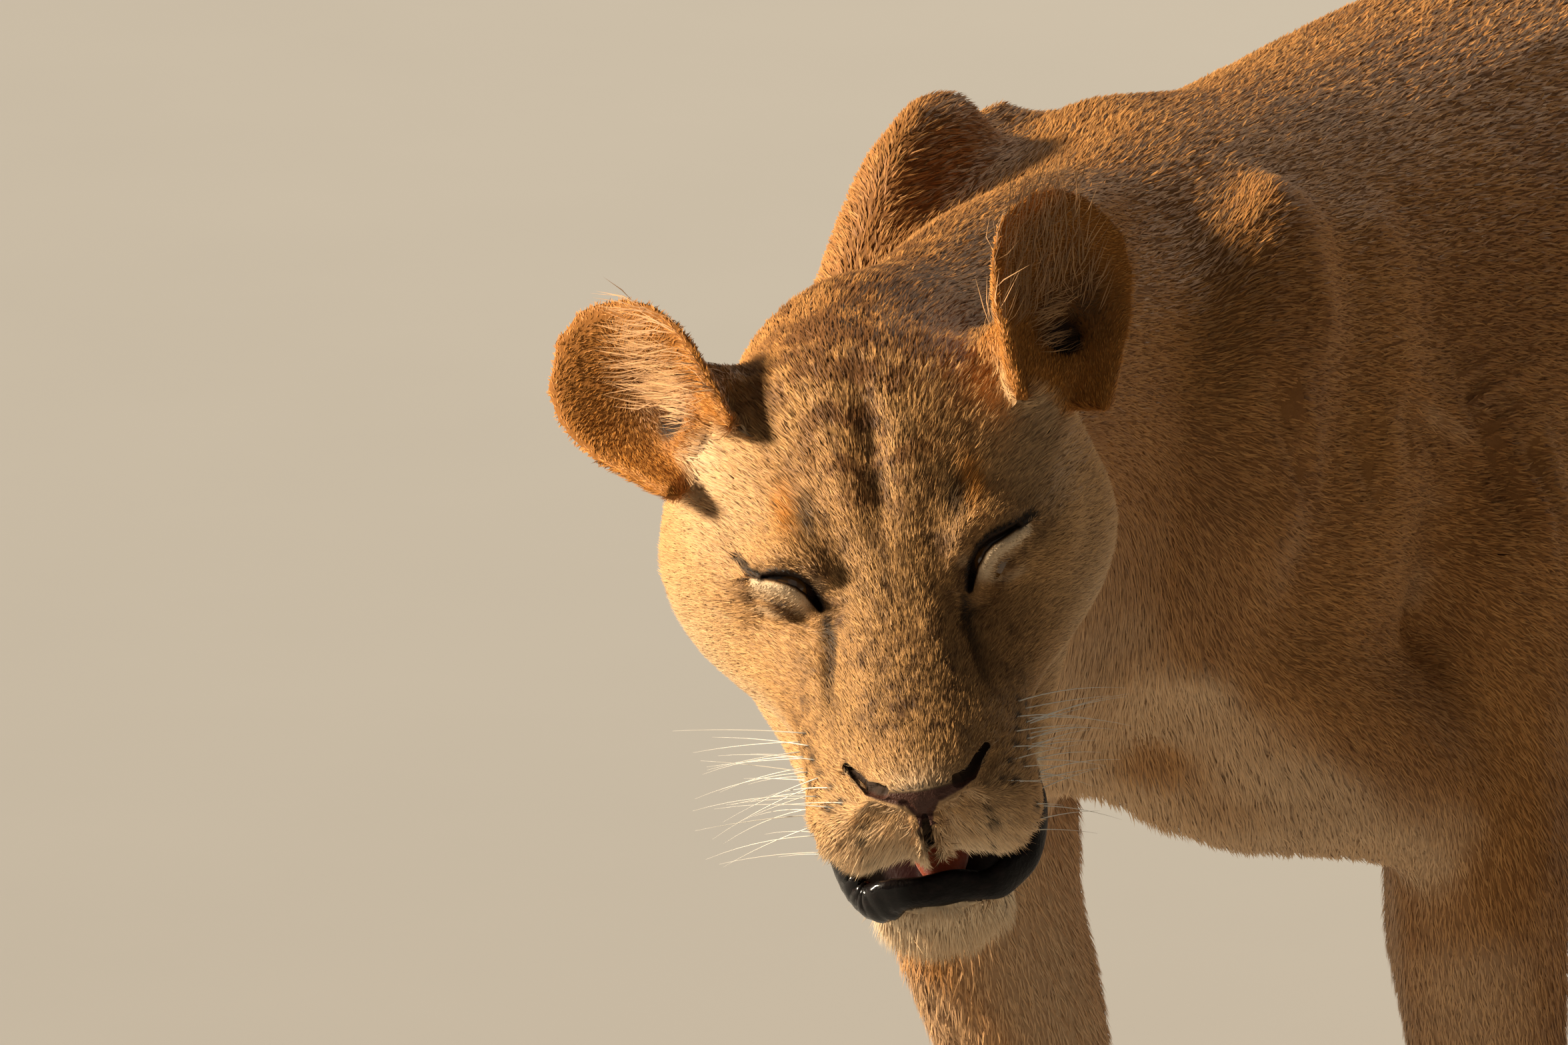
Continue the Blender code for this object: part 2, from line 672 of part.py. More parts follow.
def part_leg(rest, name, finish, side, joint, paw, ahead, behind):
    """Parts a leg from the trunk with a box whose inner face leans in to pass inside the paw."""
    inner_top = 0.075
    inner_foot = abs(paw.x) - 0.072
    top = joint.z + 0.10
    lean = Matrix.Rotation(side * atan2(inner_top - inner_foot, top), 4, "Y")
    frame = Matrix.Translation((side * inner_top, joint.y, top)) @ lean
    inner, outer = sorted((0.0, side * 0.3))
    return part_off(rest, name, finish, (inner, -ahead, -0.9), (outer, behind, 0), frame)


def part_paw(rest, name, finish, paw, height):
    low, high = (-0.085, -0.15, -0.1), (0.085, 0.13, height)
    return part_off(rest, name, finish, low, high, Matrix.Translation(paw))


def swollen(mesh, gap):
    """A copy of mesh with its surface moved out by gap, as a hidden cutter."""
    obj = hide(add_object("cutter_swollen", mesh.copy()))
    points = coordinates(mesh)
    normals = np.array([v.normal[:] for v in obj.data.vertices])
    obj.data.vertices.foreach_set("co", (points + gap * normals).ravel())
    return obj


def cut_eye_slit(rest, side):
    """The narrow opening between her lids, from the inner corner up to the outer one."""
    bm = bmesh.new()
    blob(bm, (side * 0.0580, 0.004, 0.0120), (0.0190, 0.020, 0.0040), HEAD, turn=(-20, -side * 27, side * 31))
    mesh = bpy.data.meshes.new("cutter_slit")
    bm.to_mesh(mesh)
    bm.free()
    slit = hide(add_object("cutter_slit", mesh))
    rest = boolean(rest, slit, "DIFFERENCE")
    remove_object(slit)
    return rest


# ---- Ears, eyes and tongue -----------------------------------------------------------------------

EAR_LENGTH = 0.105
EAR_HALF_WIDTH = 0.049
EAR_THICKNESS = 0.0085
EAR_CUP = 0.036
EARS = {
    # in the head's frame: where its root is, where its tip points, where its opening faces
    "left": ((0.090, 0.120, 0.026), (0.26, 0.68, 0.65), (0.42, -0.66, 0.62)),
    "right": ((-0.088, 0.112, 0.018), (-0.60, 0.68, 0.36), (-0.22, -0.62, 0.75)),
}


def ear_frame(name):
    root, tip, facing = (Vector(v) for v in EARS[name])
    up = tip.normalized()
    back = (up * facing.dot(up) - facing).normalized()
    turn = Matrix((back.cross(up), back, up)).transposed().to_4x4()
    return HEAD @ Matrix.Translation(root) @ turn


def ear_point(across, up):
    """A point of the ear's cupped sheet: across from -1 to 1, up from 0 at the root to 1 at the tip."""
    outline = (1 - max(0.0, (up - 0.42) / 0.58) ** 2.4) ** 0.5
    root = 0.72 + 0.28 * min(1.0, up / 0.42)
    width = EAR_HALF_WIDTH * root * outline
    cup = EAR_CUP * (1.05 - 0.75 * up) * across**2 * outline**2
    return Vector((across * width * (1 - 0.16 * (1 - up)), -cup, up * EAR_LENGTH))


def ear_mesh(name, columns=8, rows=5):
    bm = bmesh.new()
    frame = ear_frame(name)
    grid = []
    for j in range(rows + 1):
        up = -0.16 + 1.16 * (j / rows) ** 0.85 * 0.985
        grid.append([bm.verts.new(frame @ ear_point(2 * i / columns - 1, up)) for i in range(columns + 1)])
    for low, high in zip(grid, grid[1:]):
        for i in range(columns):
            bm.faces.new((low[i], low[i + 1], high[i + 1], high[i]))
    mesh = bpy.data.meshes.new("ear_" + name)
    bm.to_mesh(mesh)
    bm.free()
    obj = add_object("ear_work", mesh)
    wall = obj.modifiers.new("Wall", "SOLIDIFY")
    wall.thickness = EAR_THICKNESS
    wall.offset = 0
    wall.use_even_offset = False
    bevel = obj.modifiers.new("Rim", "BEVEL")
    bevel.width = EAR_THICKNESS * 0.32
    bevel.segments = 1
    bevel.limit_method = "ANGLE"
    bevel.angle_limit = radians(50)
    made = evaluated_mesh(obj, "ear_" + name)
    remove_object(obj)
    return made


def eye_mesh(name, grow=0.0):
    x, y, z = EYE_CENTRE
    bm = bmesh.new()
    place = HEAD @ Matrix.Translation((SIDES[name] * x, y, z))
    bmesh.ops.create_uvsphere(bm, u_segments=12, v_segments=8, radius=EYE_RADIUS + grow, matrix=place)
    mesh = bpy.data.meshes.new("eye_" + name)
    bm.to_mesh(mesh)
    bm.free()
    mesh.shade_smooth()
    return mesh


def tongue_mesh():
    bm = bmesh.new()
    size = Matrix.Diagonal((0.024, 0.038, 0.009, 1))
    place = HEAD @ Matrix.Translation((0, -0.082, -0.101)) @ size
    bmesh.ops.create_uvsphere(bm, u_segments=12, v_segments=8, radius=1, matrix=place)
    mesh = bpy.data.meshes.new("tongue")
    bm.to_mesh(mesh)
    bm.free()
    return mesh


# ---- The lioness ---------------------------------------------------------------------------------


def centre_on_origin(pieces):
    """Moves all the pieces' meshes as one, so that their common box stands centred on the origin."""
    corners = np.vstack([coordinates(piece.data) for piece in pieces])
    middle = (corners.min(axis=0) + corners.max(axis=0)) / 2
    shift = Matrix.Translation((-middle[0], -middle[1], -corners[:, 2].min()))
    for piece in pieces:
        piece.data.transform(shift)


def build():
    clear_scene()
    tawny = material("tawny_coat", TAWNY, 0.85)
    pale = material("pale_coat", PALE, 0.85)
    black = material("black_hair", BLACK, 0.6)
    nose = material("nose_leather", NOSE_PINK, 0.45)
    red = material("tongue_skin", TONGUE_RED, 0.35)
    amber = material("eye_amber", AMBER, 0.1)

    bm = bmesh.new()
    add_trunk(bm)
    add_neck(bm)
    tube(bm, tail_stations(0, TAIL_FROM + 1))
    for name, side in SIDES.items():
        add_foreleg(bm, side, FORELEGS[name])
        add_hindleg(bm, side, HINDLEGS[name])
    add_skull(bm)
    add_jaw(bm)
    flesh = soften(fuse("flesh", bm))
    points = sculpt_head(coordinates(flesh.data))
    flesh.data.vertices.foreach_set("co", points.ravel())
    flesh = thin(flesh, TRIANGLES)

    # The floor flattens the pads, and the eyes have their sockets.
    rest = flesh.data
    rest = trim(rest, (-1, -2, -1), (1, 2, 0))
    for name, side in SIDES.items():
        rest = cut_eye_slit(rest, side)
        socket = hide(add_object("cutter_socket", eye_mesh(name, grow=SEAM)))
        rest = boolean(rest, socket, "DIFFERENCE")
        remove_object(socket)
    remove_object(flesh)
    skin = swollen(rest, SEAM)

    for name in SIDES:
        add_object("eye_" + name, eye_mesh(name), amber)
        add_object("ear_" + name, boolean(ear_mesh(name), skin, "DIFFERENCE"), tawny)
    add_object("tongue", boolean(tongue_mesh(), skin, "DIFFERENCE"), red)
    remove_object(skin)

    rest = part_off_blob(rest, "nose", nose, (0, -0.1400, -0.0190), (0.036, 0.026, 0.0170), HEAD)
    rest = part_off(rest, "jaw", pale, (-0.2, -0.06, -0.09), (0.2, 0.165, 0.0), mouth_frame())
    rest = beyond(rest, "head", tawny, (0, 0.135, 0), (0, -1, -0.12), 0.3, 0.4, HEAD)
    rest = beyond(rest, "neck", tawny, (0, -0.550, 0.760), (0.05, -0.84, 0.54), 0.4, 0.5)
    for name, side in SIDES.items():
        fore, hind = FORELEGS[name], HINDLEGS[name]
        rest = part_paw(rest, "forepaw_" + name, pale, fore["paw"], 0.120)
        rest = part_paw(rest, "hindpaw_" + name, pale, hind["paw"], 0.085)
        rest = part_leg(rest, "foreleg_" + name, tawny, side, fore["elbow"], fore["paw"], 0.25, 0.28)
        rest = part_leg(rest, "hindleg_" + name, tawny, side, hind["hip"], hind["paw"], 0.26, 0.40)
    rest = part_tail(rest, tawny, black)
    rest.name = "trunk"
    add_object("trunk", rest, tawny)
    centre_on_origin([obj for obj in bpy.data.objects if not obj.hide_render])


build()
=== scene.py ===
# %% [markdown]
# # A lioness, from solids to skin and coat
# The construction is already settled: the packed model holds her body as plain closed solids, out to the
# tips of her coat. This script is about looks. It grows one skin inside those solids, sculpts her face,
# gives her eyes, lips and tongue, and then covers her with a coat of small locks of hair.
#
# Everything is in metres, +Z up. She walks along -Y, and her left side is +X.

# %% The packed frame
from collections import namedtuple
from math import ceil, cos, pi, radians, sin

import bmesh
import bpy
import numpy as np
from mathutils import Matrix, Vector


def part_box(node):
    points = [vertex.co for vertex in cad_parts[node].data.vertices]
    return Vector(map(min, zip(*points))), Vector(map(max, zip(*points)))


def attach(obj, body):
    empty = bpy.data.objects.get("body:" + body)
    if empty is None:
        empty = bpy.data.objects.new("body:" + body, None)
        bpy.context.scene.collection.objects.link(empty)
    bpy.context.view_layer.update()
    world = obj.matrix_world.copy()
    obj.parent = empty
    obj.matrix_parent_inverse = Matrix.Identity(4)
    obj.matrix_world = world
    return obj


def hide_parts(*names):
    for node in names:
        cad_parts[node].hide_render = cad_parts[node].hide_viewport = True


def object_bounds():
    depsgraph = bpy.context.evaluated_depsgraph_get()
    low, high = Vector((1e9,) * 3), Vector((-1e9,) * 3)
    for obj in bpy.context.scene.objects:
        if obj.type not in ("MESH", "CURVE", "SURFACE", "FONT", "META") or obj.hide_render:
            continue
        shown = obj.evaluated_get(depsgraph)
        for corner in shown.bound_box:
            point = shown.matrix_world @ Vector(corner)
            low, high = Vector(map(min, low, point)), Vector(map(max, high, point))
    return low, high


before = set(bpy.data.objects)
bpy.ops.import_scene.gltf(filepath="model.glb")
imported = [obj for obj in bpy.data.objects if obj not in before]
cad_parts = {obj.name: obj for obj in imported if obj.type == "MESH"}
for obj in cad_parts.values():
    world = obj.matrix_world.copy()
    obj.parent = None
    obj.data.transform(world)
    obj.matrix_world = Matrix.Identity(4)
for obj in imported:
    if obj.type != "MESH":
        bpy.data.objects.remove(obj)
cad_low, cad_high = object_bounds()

BODY = "root"
RNG = np.random.default_rng(20)
print("solids:", sorted(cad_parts))

# %% [markdown]
# ## The head's own frame
# The head is lowered, tilted and turned to her left, so the face is easier to describe in a frame of its
# own: X to her left, Y back into the skull, Z up, with the origin between the inner corners of her eyes.
# The three turns are hers; the place comes from the two eye solids. Two directions are used often: one runs
# up her brow, the other points out of her face.

# %% Head frame
HEAD_TURN = radians(36.2)
HEAD_DROP = radians(30.6)
HEAD_TILT = radians(-10.2)
EYE_CENTRE = np.array((0.0530, 0.0215, 0.0020))
EYE_RADIUS = 0.0175
BROW_AXIS = np.array((0.0, 0.725, 0.688))
OUT_AXIS = np.array((0.0, -0.688, 0.725))


def middle_of(node):
    low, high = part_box(node)
    return (low + high) / 2


head_turn = (
    Matrix.Rotation(HEAD_TURN, 4, "Z")
    @ Matrix.Rotation(HEAD_DROP, 4, "X")
    @ Matrix.Rotation(HEAD_TILT, 4, "Y")
)
between_eyes = (middle_of("eye_left") + middle_of("eye_right")) / 2
HEAD = Matrix.Translation(between_eyes - head_turn @ Vector((0, EYE_CENTRE[1], EYE_CENTRE[2]))) @ head_turn
HEAD_AXES = np.array(HEAD.to_3x3())
HEAD_ORIGIN = np.array(HEAD.translation)


def to_head(points):
    return (points - HEAD_ORIGIN) @ HEAD_AXES


def from_head(points):
    return np.asarray(points) @ HEAD_AXES.T + HEAD_ORIGIN


def eye_plane(h, side):
    """P and Q of points in front of her left (1) or right (-1) eye, and their distance out of the face."""
    offset = h * (side, 1, 1) - EYE_CENTRE
    return np.c_[offset[:, 0], offset @ BROW_AXIS], offset @ OUT_AXIS


print("between the eyes:", [round(v, 3) for v in HEAD_ORIGIN])

# %% [markdown]
# ## One skin from many solids
# The solids meet with thin gaps, so that each part keeps its name. Skin has no gaps. Each solid is swollen
# by a little more than half a gap, all are joined, and a voxel remesh wraps them in one closed surface.
# The remesh knows nothing of the facets, so some rounds of smoothing melt them away. Plain smoothing also
# shrinks a mesh; alternating a pull with a slightly stronger push (Taubin's way) keeps its size.

# %% Joining and remeshing the flesh
GAP_CLOSER = 0.0006
SAME_POINT = 0.00002
SOCKET_BALL = EYE_RADIUS + 0.002
VOXEL = 0.0046
FLESH = [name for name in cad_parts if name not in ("eye_left", "eye_right", "tongue")]


def mesh_from(name, verts, faces):
    mesh = bpy.data.meshes.new(name)
    mesh.from_pydata(verts, [], faces)
    mesh.update()
    return mesh


def mesh_of(bm, name):
    """The mesh of a bmesh, which is then let go."""
    mesh = bpy.data.meshes.new(name)
    bm.to_mesh(mesh)
    bm.free()
    return mesh


def add_layer(mesh, name, values):
    """A number for each point, which materials read by its name."""
    layer = mesh.attributes.new(name, "FLOAT", "POINT")
    layer.data.foreach_set("value", np.asarray(values, np.float32))


def placed(name, data):
    made = bpy.data.objects.new(name, data)
    bpy.context.scene.collection.objects.link(made)
    return made


def add_piece(name, mesh, finish):
    """A visible piece of her, with its finish, riding on her one body."""
    piece = placed(name, mesh)
    mesh.materials.append(finish.material)
    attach(piece, BODY)
    return piece


def evaluated(obj):
    bpy.context.view_layer.update()
    made = bpy.data.meshes.new_from_object(obj.evaluated_get(bpy.context.evaluated_depsgraph_get()))
    bpy.data.objects.remove(obj, do_unlink=True)
    return made


def joined_flesh():
    bm = bmesh.new()
    for name in FLESH:
        one = bmesh.new()
        one.from_mesh(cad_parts[name].data)
        bmesh.ops.remove_doubles(one, verts=one.verts, dist=SAME_POINT)
        one.normal_update()
        for vert in one.verts:
            vert.co += vert.normal * GAP_CLOSER
        mesh = mesh_of(one, "part")
        bm.from_mesh(mesh)
        bpy.data.meshes.remove(mesh)
    # Plain balls fill the eye sockets, so that the lids have something to close over.
    for side in (1, -1):
        place = HEAD @ Matrix.Translation(Vector(EYE_CENTRE * (side, 1, 1)))
        bmesh.ops.create_uvsphere(bm, u_segments=24, v_segments=16, radius=SOCKET_BALL, matrix=place)
    return mesh_of(bm, "flesh")


skin_work = placed("skin_work", joined_flesh())
wrap = skin_work.modifiers.new("Wrap", "REMESH")
wrap.mode = "VOXEL"
wrap.voxel_size = VOXEL
skin = evaluated(skin_work)
print("wrapped skin:", len(skin.vertices), "points")

# %% [markdown]
# ## Melting the facets
# The same few lines of array maths serve every smoothing: each point moves towards the mean of its
# neighbours. A share from 0 to 1 per point says how much of it each place takes, because head, paws and tail
# keep their forms, while the hips and her right shoulder are melted further than the rest.

# %% Smoothing tools


def points_of(mesh):
    flat = np.empty(len(mesh.vertices) * 3, np.float32)
    mesh.vertices.foreach_get("co", flat)
    return flat.reshape(-1, 3).astype(float)


def normals_of(mesh):
    flat = np.empty(len(mesh.vertices) * 3, np.float32)
    mesh.vertex_normals.foreach_get("vector", flat)
    return flat.reshape(-1, 3).astype(float)


def set_points(mesh, points):
    mesh.vertices.foreach_set("co", points.astype(np.float32).ravel())
    mesh.update()


def edges_of(mesh):
    flat = np.empty(len(mesh.edges) * 2, np.int32)
    mesh.edges.foreach_get("vertices", flat)
    return flat.reshape(-1, 2)


def smooth(points, edges, rounds, share, steps=(0.55, -0.58)):
    """Taubin smoothing: facets go, size stays. share says how much of it each point takes."""
    count = np.bincount(edges.ravel(), minlength=len(points)).astype(float)
    for _ in range(rounds):
        for step in steps:
            total = np.zeros_like(points)
            for column in range(3):
                total[:, column] = np.bincount(edges[:, 0], points[edges[:, 1], column], len(points))
                total[:, column] += np.bincount(edges[:, 1], points[edges[:, 0], column], len(points))
            points = points + step * share[:, None] * (total / count[:, None] - points)
    return points


def melt(points, edges, rounds, share, pull):
    """Plain smoothing, which shrinks what it melts."""
    return smooth(points, edges, rounds, share, steps=(pull,))


def ramp(value, low, high):
    """0 at low, 1 at high, with soft ends."""
    t = np.clip((value - low) / (high - low), 0, 1)
    return t * t * (3 - 2 * t)


def bump_at(value, middle, width):
    return np.exp(-(((value - middle) / width) ** 2))


def in_head(points, inner=0.15, outer=0.22):
    """1 in the head, 0 beyond the outer distance from its middle."""
    distance = np.linalg.norm(to_head(points) - (0, 0.03, -0.04), axis=1)
    return 1 - ramp(distance, inner, outer)


def in_paws(points):
    return 1 - ramp(points[:, 2], 0.08, 0.13)


print("half way up a ramp:", ramp(0.5, 0, 1), "and a bump at its width:", bump_at(1, 0, 1).round(2))

# %% Smoothing the wrapped skin
FACET_ROUNDS = 26
BODY_ROUNDS = 20
HIP_ROUNDS = 90
MELT_PULL = 0.6

points = points_of(skin)
wrap_edges = edges_of(skin)
on_tail = ramp(points[:, 1], 0.80, 0.86)
detail = np.maximum(np.maximum(in_head(points), in_paws(points)), on_tail)
points = smooth(points, wrap_edges, FACET_ROUNDS, 1 - 0.8 * detail)
hips = ramp(points[:, 1], 0.18, 0.32) * (1 - ramp(points[:, 1], 0.70, 0.76)) * ramp(points[:, 2], 0.50, 0.62)
right_shoulder = bump_at(points[:, 1], -0.46, 0.08) * (1 - ramp(points[:, 0], -0.05, 0.00)) * (1 - detail)
right_shoulder = right_shoulder * ramp(points[:, 2], 0.48, 0.58) * (1 - ramp(points[:, 2], 0.84, 0.90))
points = melt(points, wrap_edges, BODY_ROUNDS, 1 - detail, MELT_PULL)
points = melt(points, wrap_edges, HIP_ROUNDS, np.maximum(hips, right_shoulder), MELT_PULL)
set_points(skin, points)
print("box after smoothing:", points.min(0).round(3), points.max(0).round(3))

# %% [markdown]
# ## Fewer points where she is plain
# The wrap deals its points evenly, but her back and flanks are smooth and the hair hides them. A Decimate
# modifier, held to a group of points, takes more than half of them away there, and leaves head, paws and tail
# as they are. A coarser wrap for all of her would have cost the detail of the face.

# %% Thinning the points of the body
KEPT_SHARE = 0.42
thin_work = placed("thin_work", skin)
body_group = thin_work.vertex_groups.new(name="body")
body_group.add(np.flatnonzero(detail <= 0.02).tolist(), 1.0, "REPLACE")
thin = thin_work.modifiers.new("Thin", "DECIMATE")
thin.ratio = KEPT_SHARE
thin.vertex_group = "body"
thin.vertex_group_factor = 10.0
skin = evaluated(thin_work)
print("thinned skin:", len(skin.vertices), "points,", len(skin.polygons), "faces")

# %% [markdown]
# ## More points where the face needs them
# Lids, nostrils and lips need points half a millimetre apart, while the flank does with five or more. The
# quads of the head are split once, those of the face a second time, and those of lids and nose a third. The
# split leaves no seam, since the quads along the border take the extra points into their own outlines.

# %% Splitting the quads of the head and the face


def split(mesh, chosen):
    bm = bmesh.new()
    bm.from_mesh(mesh)
    marked = set(np.flatnonzero(chosen))
    edges = [e for e in bm.edges if e.verts[0].index in marked and e.verts[1].index in marked]
    bmesh.ops.subdivide_edges(bm, edges=edges, cuts=1, use_grid_fill=True)
    bmesh.ops.triangulate(bm, faces=[f for f in bm.faces if len(f.verts) > 4])
    bm.to_mesh(mesh)
    bm.free()


def head_points(points):
    return in_head(points) > 0.3


def face_points(points):
    """The points of the face that need the finest mesh: eyes, nose and mouth."""
    h = to_head(points)
    ahead = h[:, 1] < 0.045
    near = (np.abs(h[:, 0]) < 0.095) & (h[:, 2] < 0.055) & (h[:, 2] > -0.135)
    return ahead & near & (in_head(points) > 0.5)


def fine_points(points):
    """Lids, nose and the split of the lip."""
    h = to_head(points)
    fine = (h[:, 1] < -0.085) & (np.abs(h[:, 0]) < 0.044) & (h @ BROW_AXIS > -0.142) & (in_head(points) > 0.5)
    for side in (1, -1):
        plane, out = eye_plane(h, side)
        fine |= (np.hypot(plane[:, 0] - 0.002, plane[:, 1]) < 0.023) & (out > 0.004)
    return fine


for chosen, rounds in ((head_points, 5), (face_points, 4), (fine_points, 3)):
    split(skin, chosen(points_of(skin)))
    points = points_of(skin)
    set_points(skin, smooth(points, edges_of(skin), rounds, in_head(points)))
    print("split skin:", len(skin.vertices), "points")

# %% [markdown]
# The skin as it is now stays on record as the *plain* skin. Strokes, markings and hair are all placed by
# landmarks on it, so that a stroke and the marking in it stay together however far the stroke moves them.

# %% The plain skin
plain = points_of(skin)
print("plain skin:", len(plain), "points")

# %% [markdown]
# ## Sculpting by rule
# A sculptor pushes clay with a thumb; here a thumb is a soft falloff around a point or along a line. Each
# stroke moves the points along their normals, or along a direction of the head, by an amount in metres.

# %% Thumbs


def about(h, centre, reach):
    """A soft spot: 1 at centre, falling away over reach, which may differ along X, Y and Z."""
    return np.exp(-(((h - np.array(centre)) / np.array(reach)) ** 2).sum(axis=1))


def both_sides(h, centre, reach):
    """Two soft spots: one on her left at centre, one on her right."""
    return about(h, centre, reach) + about(h, np.array(centre) * (-1, 1, 1), reach)


def along(h, path):
    """Distance from each point to a path, and how far along the path the nearest place is, 0 to 1."""
    path = np.array(path, float)
    lengths = np.linalg.norm(np.diff(path, axis=0), axis=1)
    best = np.full(len(h), np.inf)
    place = np.zeros(len(h))
    travelled = 0.0
    for start, end, length in zip(path, path[1:], lengths):
        t = np.clip((h - start) @ (end - start) / length**2, 0, 1)
        gap = np.linalg.norm(h - (start + t[:, None] * (end - start)), axis=1)
        nearer = gap < best
        best = np.where(nearer, gap, best)
        place = np.where(nearer, (travelled + t * length) / lengths.sum(), place)
        travelled += length
    return best, place


def crease(h, path, width):
    """1 along the path and 0 a few widths from it, fading at both ends."""
    gap, place = along(h, path)
    fade = ramp(place, -0.05, 0.25) * ramp(1 - place, -0.05, 0.25)
    return np.exp(-((gap / width) ** 2)) * fade


def paired(path):
    """A path on her left, and the same on her right."""
    return path, [(-x, y, z) for x, y, z in path]


print("half way along a path:", along(np.array([(0.5, 1.0)]), [(0, 0), (1, 0)]))

# %% [markdown]
# ## The eyes, nearly closed against the sun
# She squints: the upper lid hangs low, the lower one bulges up pale and furred, and between them runs a dark
# line. It drops steeply from its top to the inner corner, and runs on as the tear line. The lids are shaped
# in a flat frame in front of each eye: P outwards, Q up the brow, and the third axis out of the face. In the
# tables below, 1 is her left eye and -1 her right, whose line lies a little flatter.

# %% The parting of the lids
LID_PARTING = {
    1: [
        (-0.0135, -0.0180), (-0.0122, -0.0125), (-0.0095, -0.0051), (-0.0049, 0.0022),
        (0.0010, 0.0062), (0.0087, 0.0086), (0.0165, 0.0116),
    ],
    -1: [
        (-0.0149, -0.0163), (-0.0131, -0.0119), (-0.0100, -0.0052), (-0.0058, -0.0003),
        (-0.0006, 0.0022), (0.0061, 0.0042), (0.0125, 0.0050),
    ],
}
OUTER_LINE = {
    1: [(0.0165, 0.0116), (0.0244, 0.0162), (0.0288, 0.0197)],
    -1: [(0.0125, 0.0050), (0.0193, 0.0084), (0.0250, 0.0170)],
}
HALF_OPEN = {1: 0.0026, -1: 0.0029}
UPPER_LID = 0.0032
LOWER_LID = 0.0024
SOCKET_REACH = 0.030
BALL_REACH = 0.0150
Parting = namedtuple("Parting", "rim place above plane out")


def parting(h, side):
    """Of each point: its distance to the rim of the opening, less than 0 inside it, its place along the
    opening, whether it lies above it, and its place in the eye's frame."""
    plane, out = eye_plane(h, side)
    path = LID_PARTING[side]
    gap, place = along(plane, path)
    knee = np.interp(plane[:, 0], [p for p, _ in path], [q for _, q in path])
    half_open = HALF_OPEN[side] * (0.15 + 0.85 * np.sin(pi * place) ** 0.8)
    return Parting(gap - half_open, place, plane[:, 1] > knee, plane, out)


def shape_eye(h, side):
    rim, _, above, plane, out = parting(h, side)
    reach = np.hypot(plane[:, 0], plane[:, 1])
    near = np.exp(-((reach / SOCKET_REACH) ** 4)) * (out > 0)
    # Over the ball the skin settles to the thickness of a lid.
    radius = np.linalg.norm(h * (side, 1, 1) - EYE_CENTRE, axis=1)
    lid = EYE_RADIUS + np.where(above, UPPER_LID, LOWER_LID)
    over_ball = np.exp(-((reach / BALL_REACH) ** 4)) * (out > 0)
    outward = (h * (side, 1, 1) - EYE_CENTRE) / radius[:, None] * (side, 1, 1)
    h = h + outward * ((lid - radius) * over_ball)[:, None]
    # The lower lid bulges along the opening, with a crease below it.
    lift = (0.0028 * bump_at(rim, 0.0032, 0.0034) - 0.0028 * bump_at(rim, 0.0108, 0.0032)) * ~above
    # The brow hangs over the upper lid down to its rim.
    lift += (0.0012 * bump_at(rim, 0.0010, 0.0020) + 0.0034 * bump_at(rim, 0.0085, 0.0060)) * above
    # The gap itself: the rims turn in and the skin drops behind the ball.
    drop = -0.0090 * (1 - ramp(rim, -0.0014, 0.0005)) * (out > 0)
    # A fine furrow carries the line on, past the outer corner.
    line_gap, line_place = along(plane, OUTER_LINE[side])
    line = -0.0026 * bump_at(line_gap, 0, 0.0018) * (1 - 0.6 * line_place) * (out > 0)
    return h + (lift * near + drop + line)[:, None] * OUT_AXIS


h = to_head(points_of(skin))
for side in (1, -1):
    h = shape_eye(h, side)
set_points(skin, from_head(h))
print("lids shaped")

# %% [markdown]
# ## Brow, muzzle, nostrils and lips
# The rest of the face is a handful of strokes, each named after what it makes. They follow the anatomy: the
# furrow between the frontal muscles, the two whisker pads with the groove between them, the wings of the
# nose, and the folds that lead from the inner corners of the eyes down beside the nose.

# %% Places on the face
EAR_HOLES = {1: (0.1075, 0.1315, 0.0430), -1: (-0.1033, 0.1190, 0.0405)}
TEAR_PATH = [
    (0.0355, -0.006, 0.000), (0.0353, -0.018, -0.004), (0.0377, -0.031, -0.008), (0.0417, -0.061, -0.0125),
]
FURROW_PATH = [(-0.001, 0.012, 0.025), (-0.001, 0.041, 0.039), (0.000, 0.076, 0.052), (0.000, 0.128, 0.063)]
PHILTRUM_PATH = [(0.0, -0.135, -0.0250), (0.0, -0.1335, -0.0400), (0.0, -0.125, -0.0580)]
NOSTRIL_PATH = [
    (0.0200, -0.1205, -0.0125), (0.0280, -0.1143, -0.0140), (0.0324, -0.1045, -0.0149),
    (0.0376, -0.0959, -0.0158),
]
WING_PATH = [(0.0300, -0.1190, -0.0220), (0.0370, -0.1080, -0.0200), (0.0430, -0.0960, -0.0200)]
CHEEK_PATH = [(0.060, -0.030, -0.060), (0.082, 0.010, -0.075), (0.098, 0.060, -0.078)]
SEAM_UNDER_NOSE = [
    (0.0310, -0.1130, -0.0160), (0.0190, -0.1245, -0.0152), (0.0100, -0.1292, -0.0158),
    (0.0045, -0.1335, -0.0215),
]
NOTCH_RISE = 0.0030
NOTCH_HALF = 0.0110
NOSTRIL_DEPTH = 0.0046
EAR_HOLE_DEPTH = 0.0150

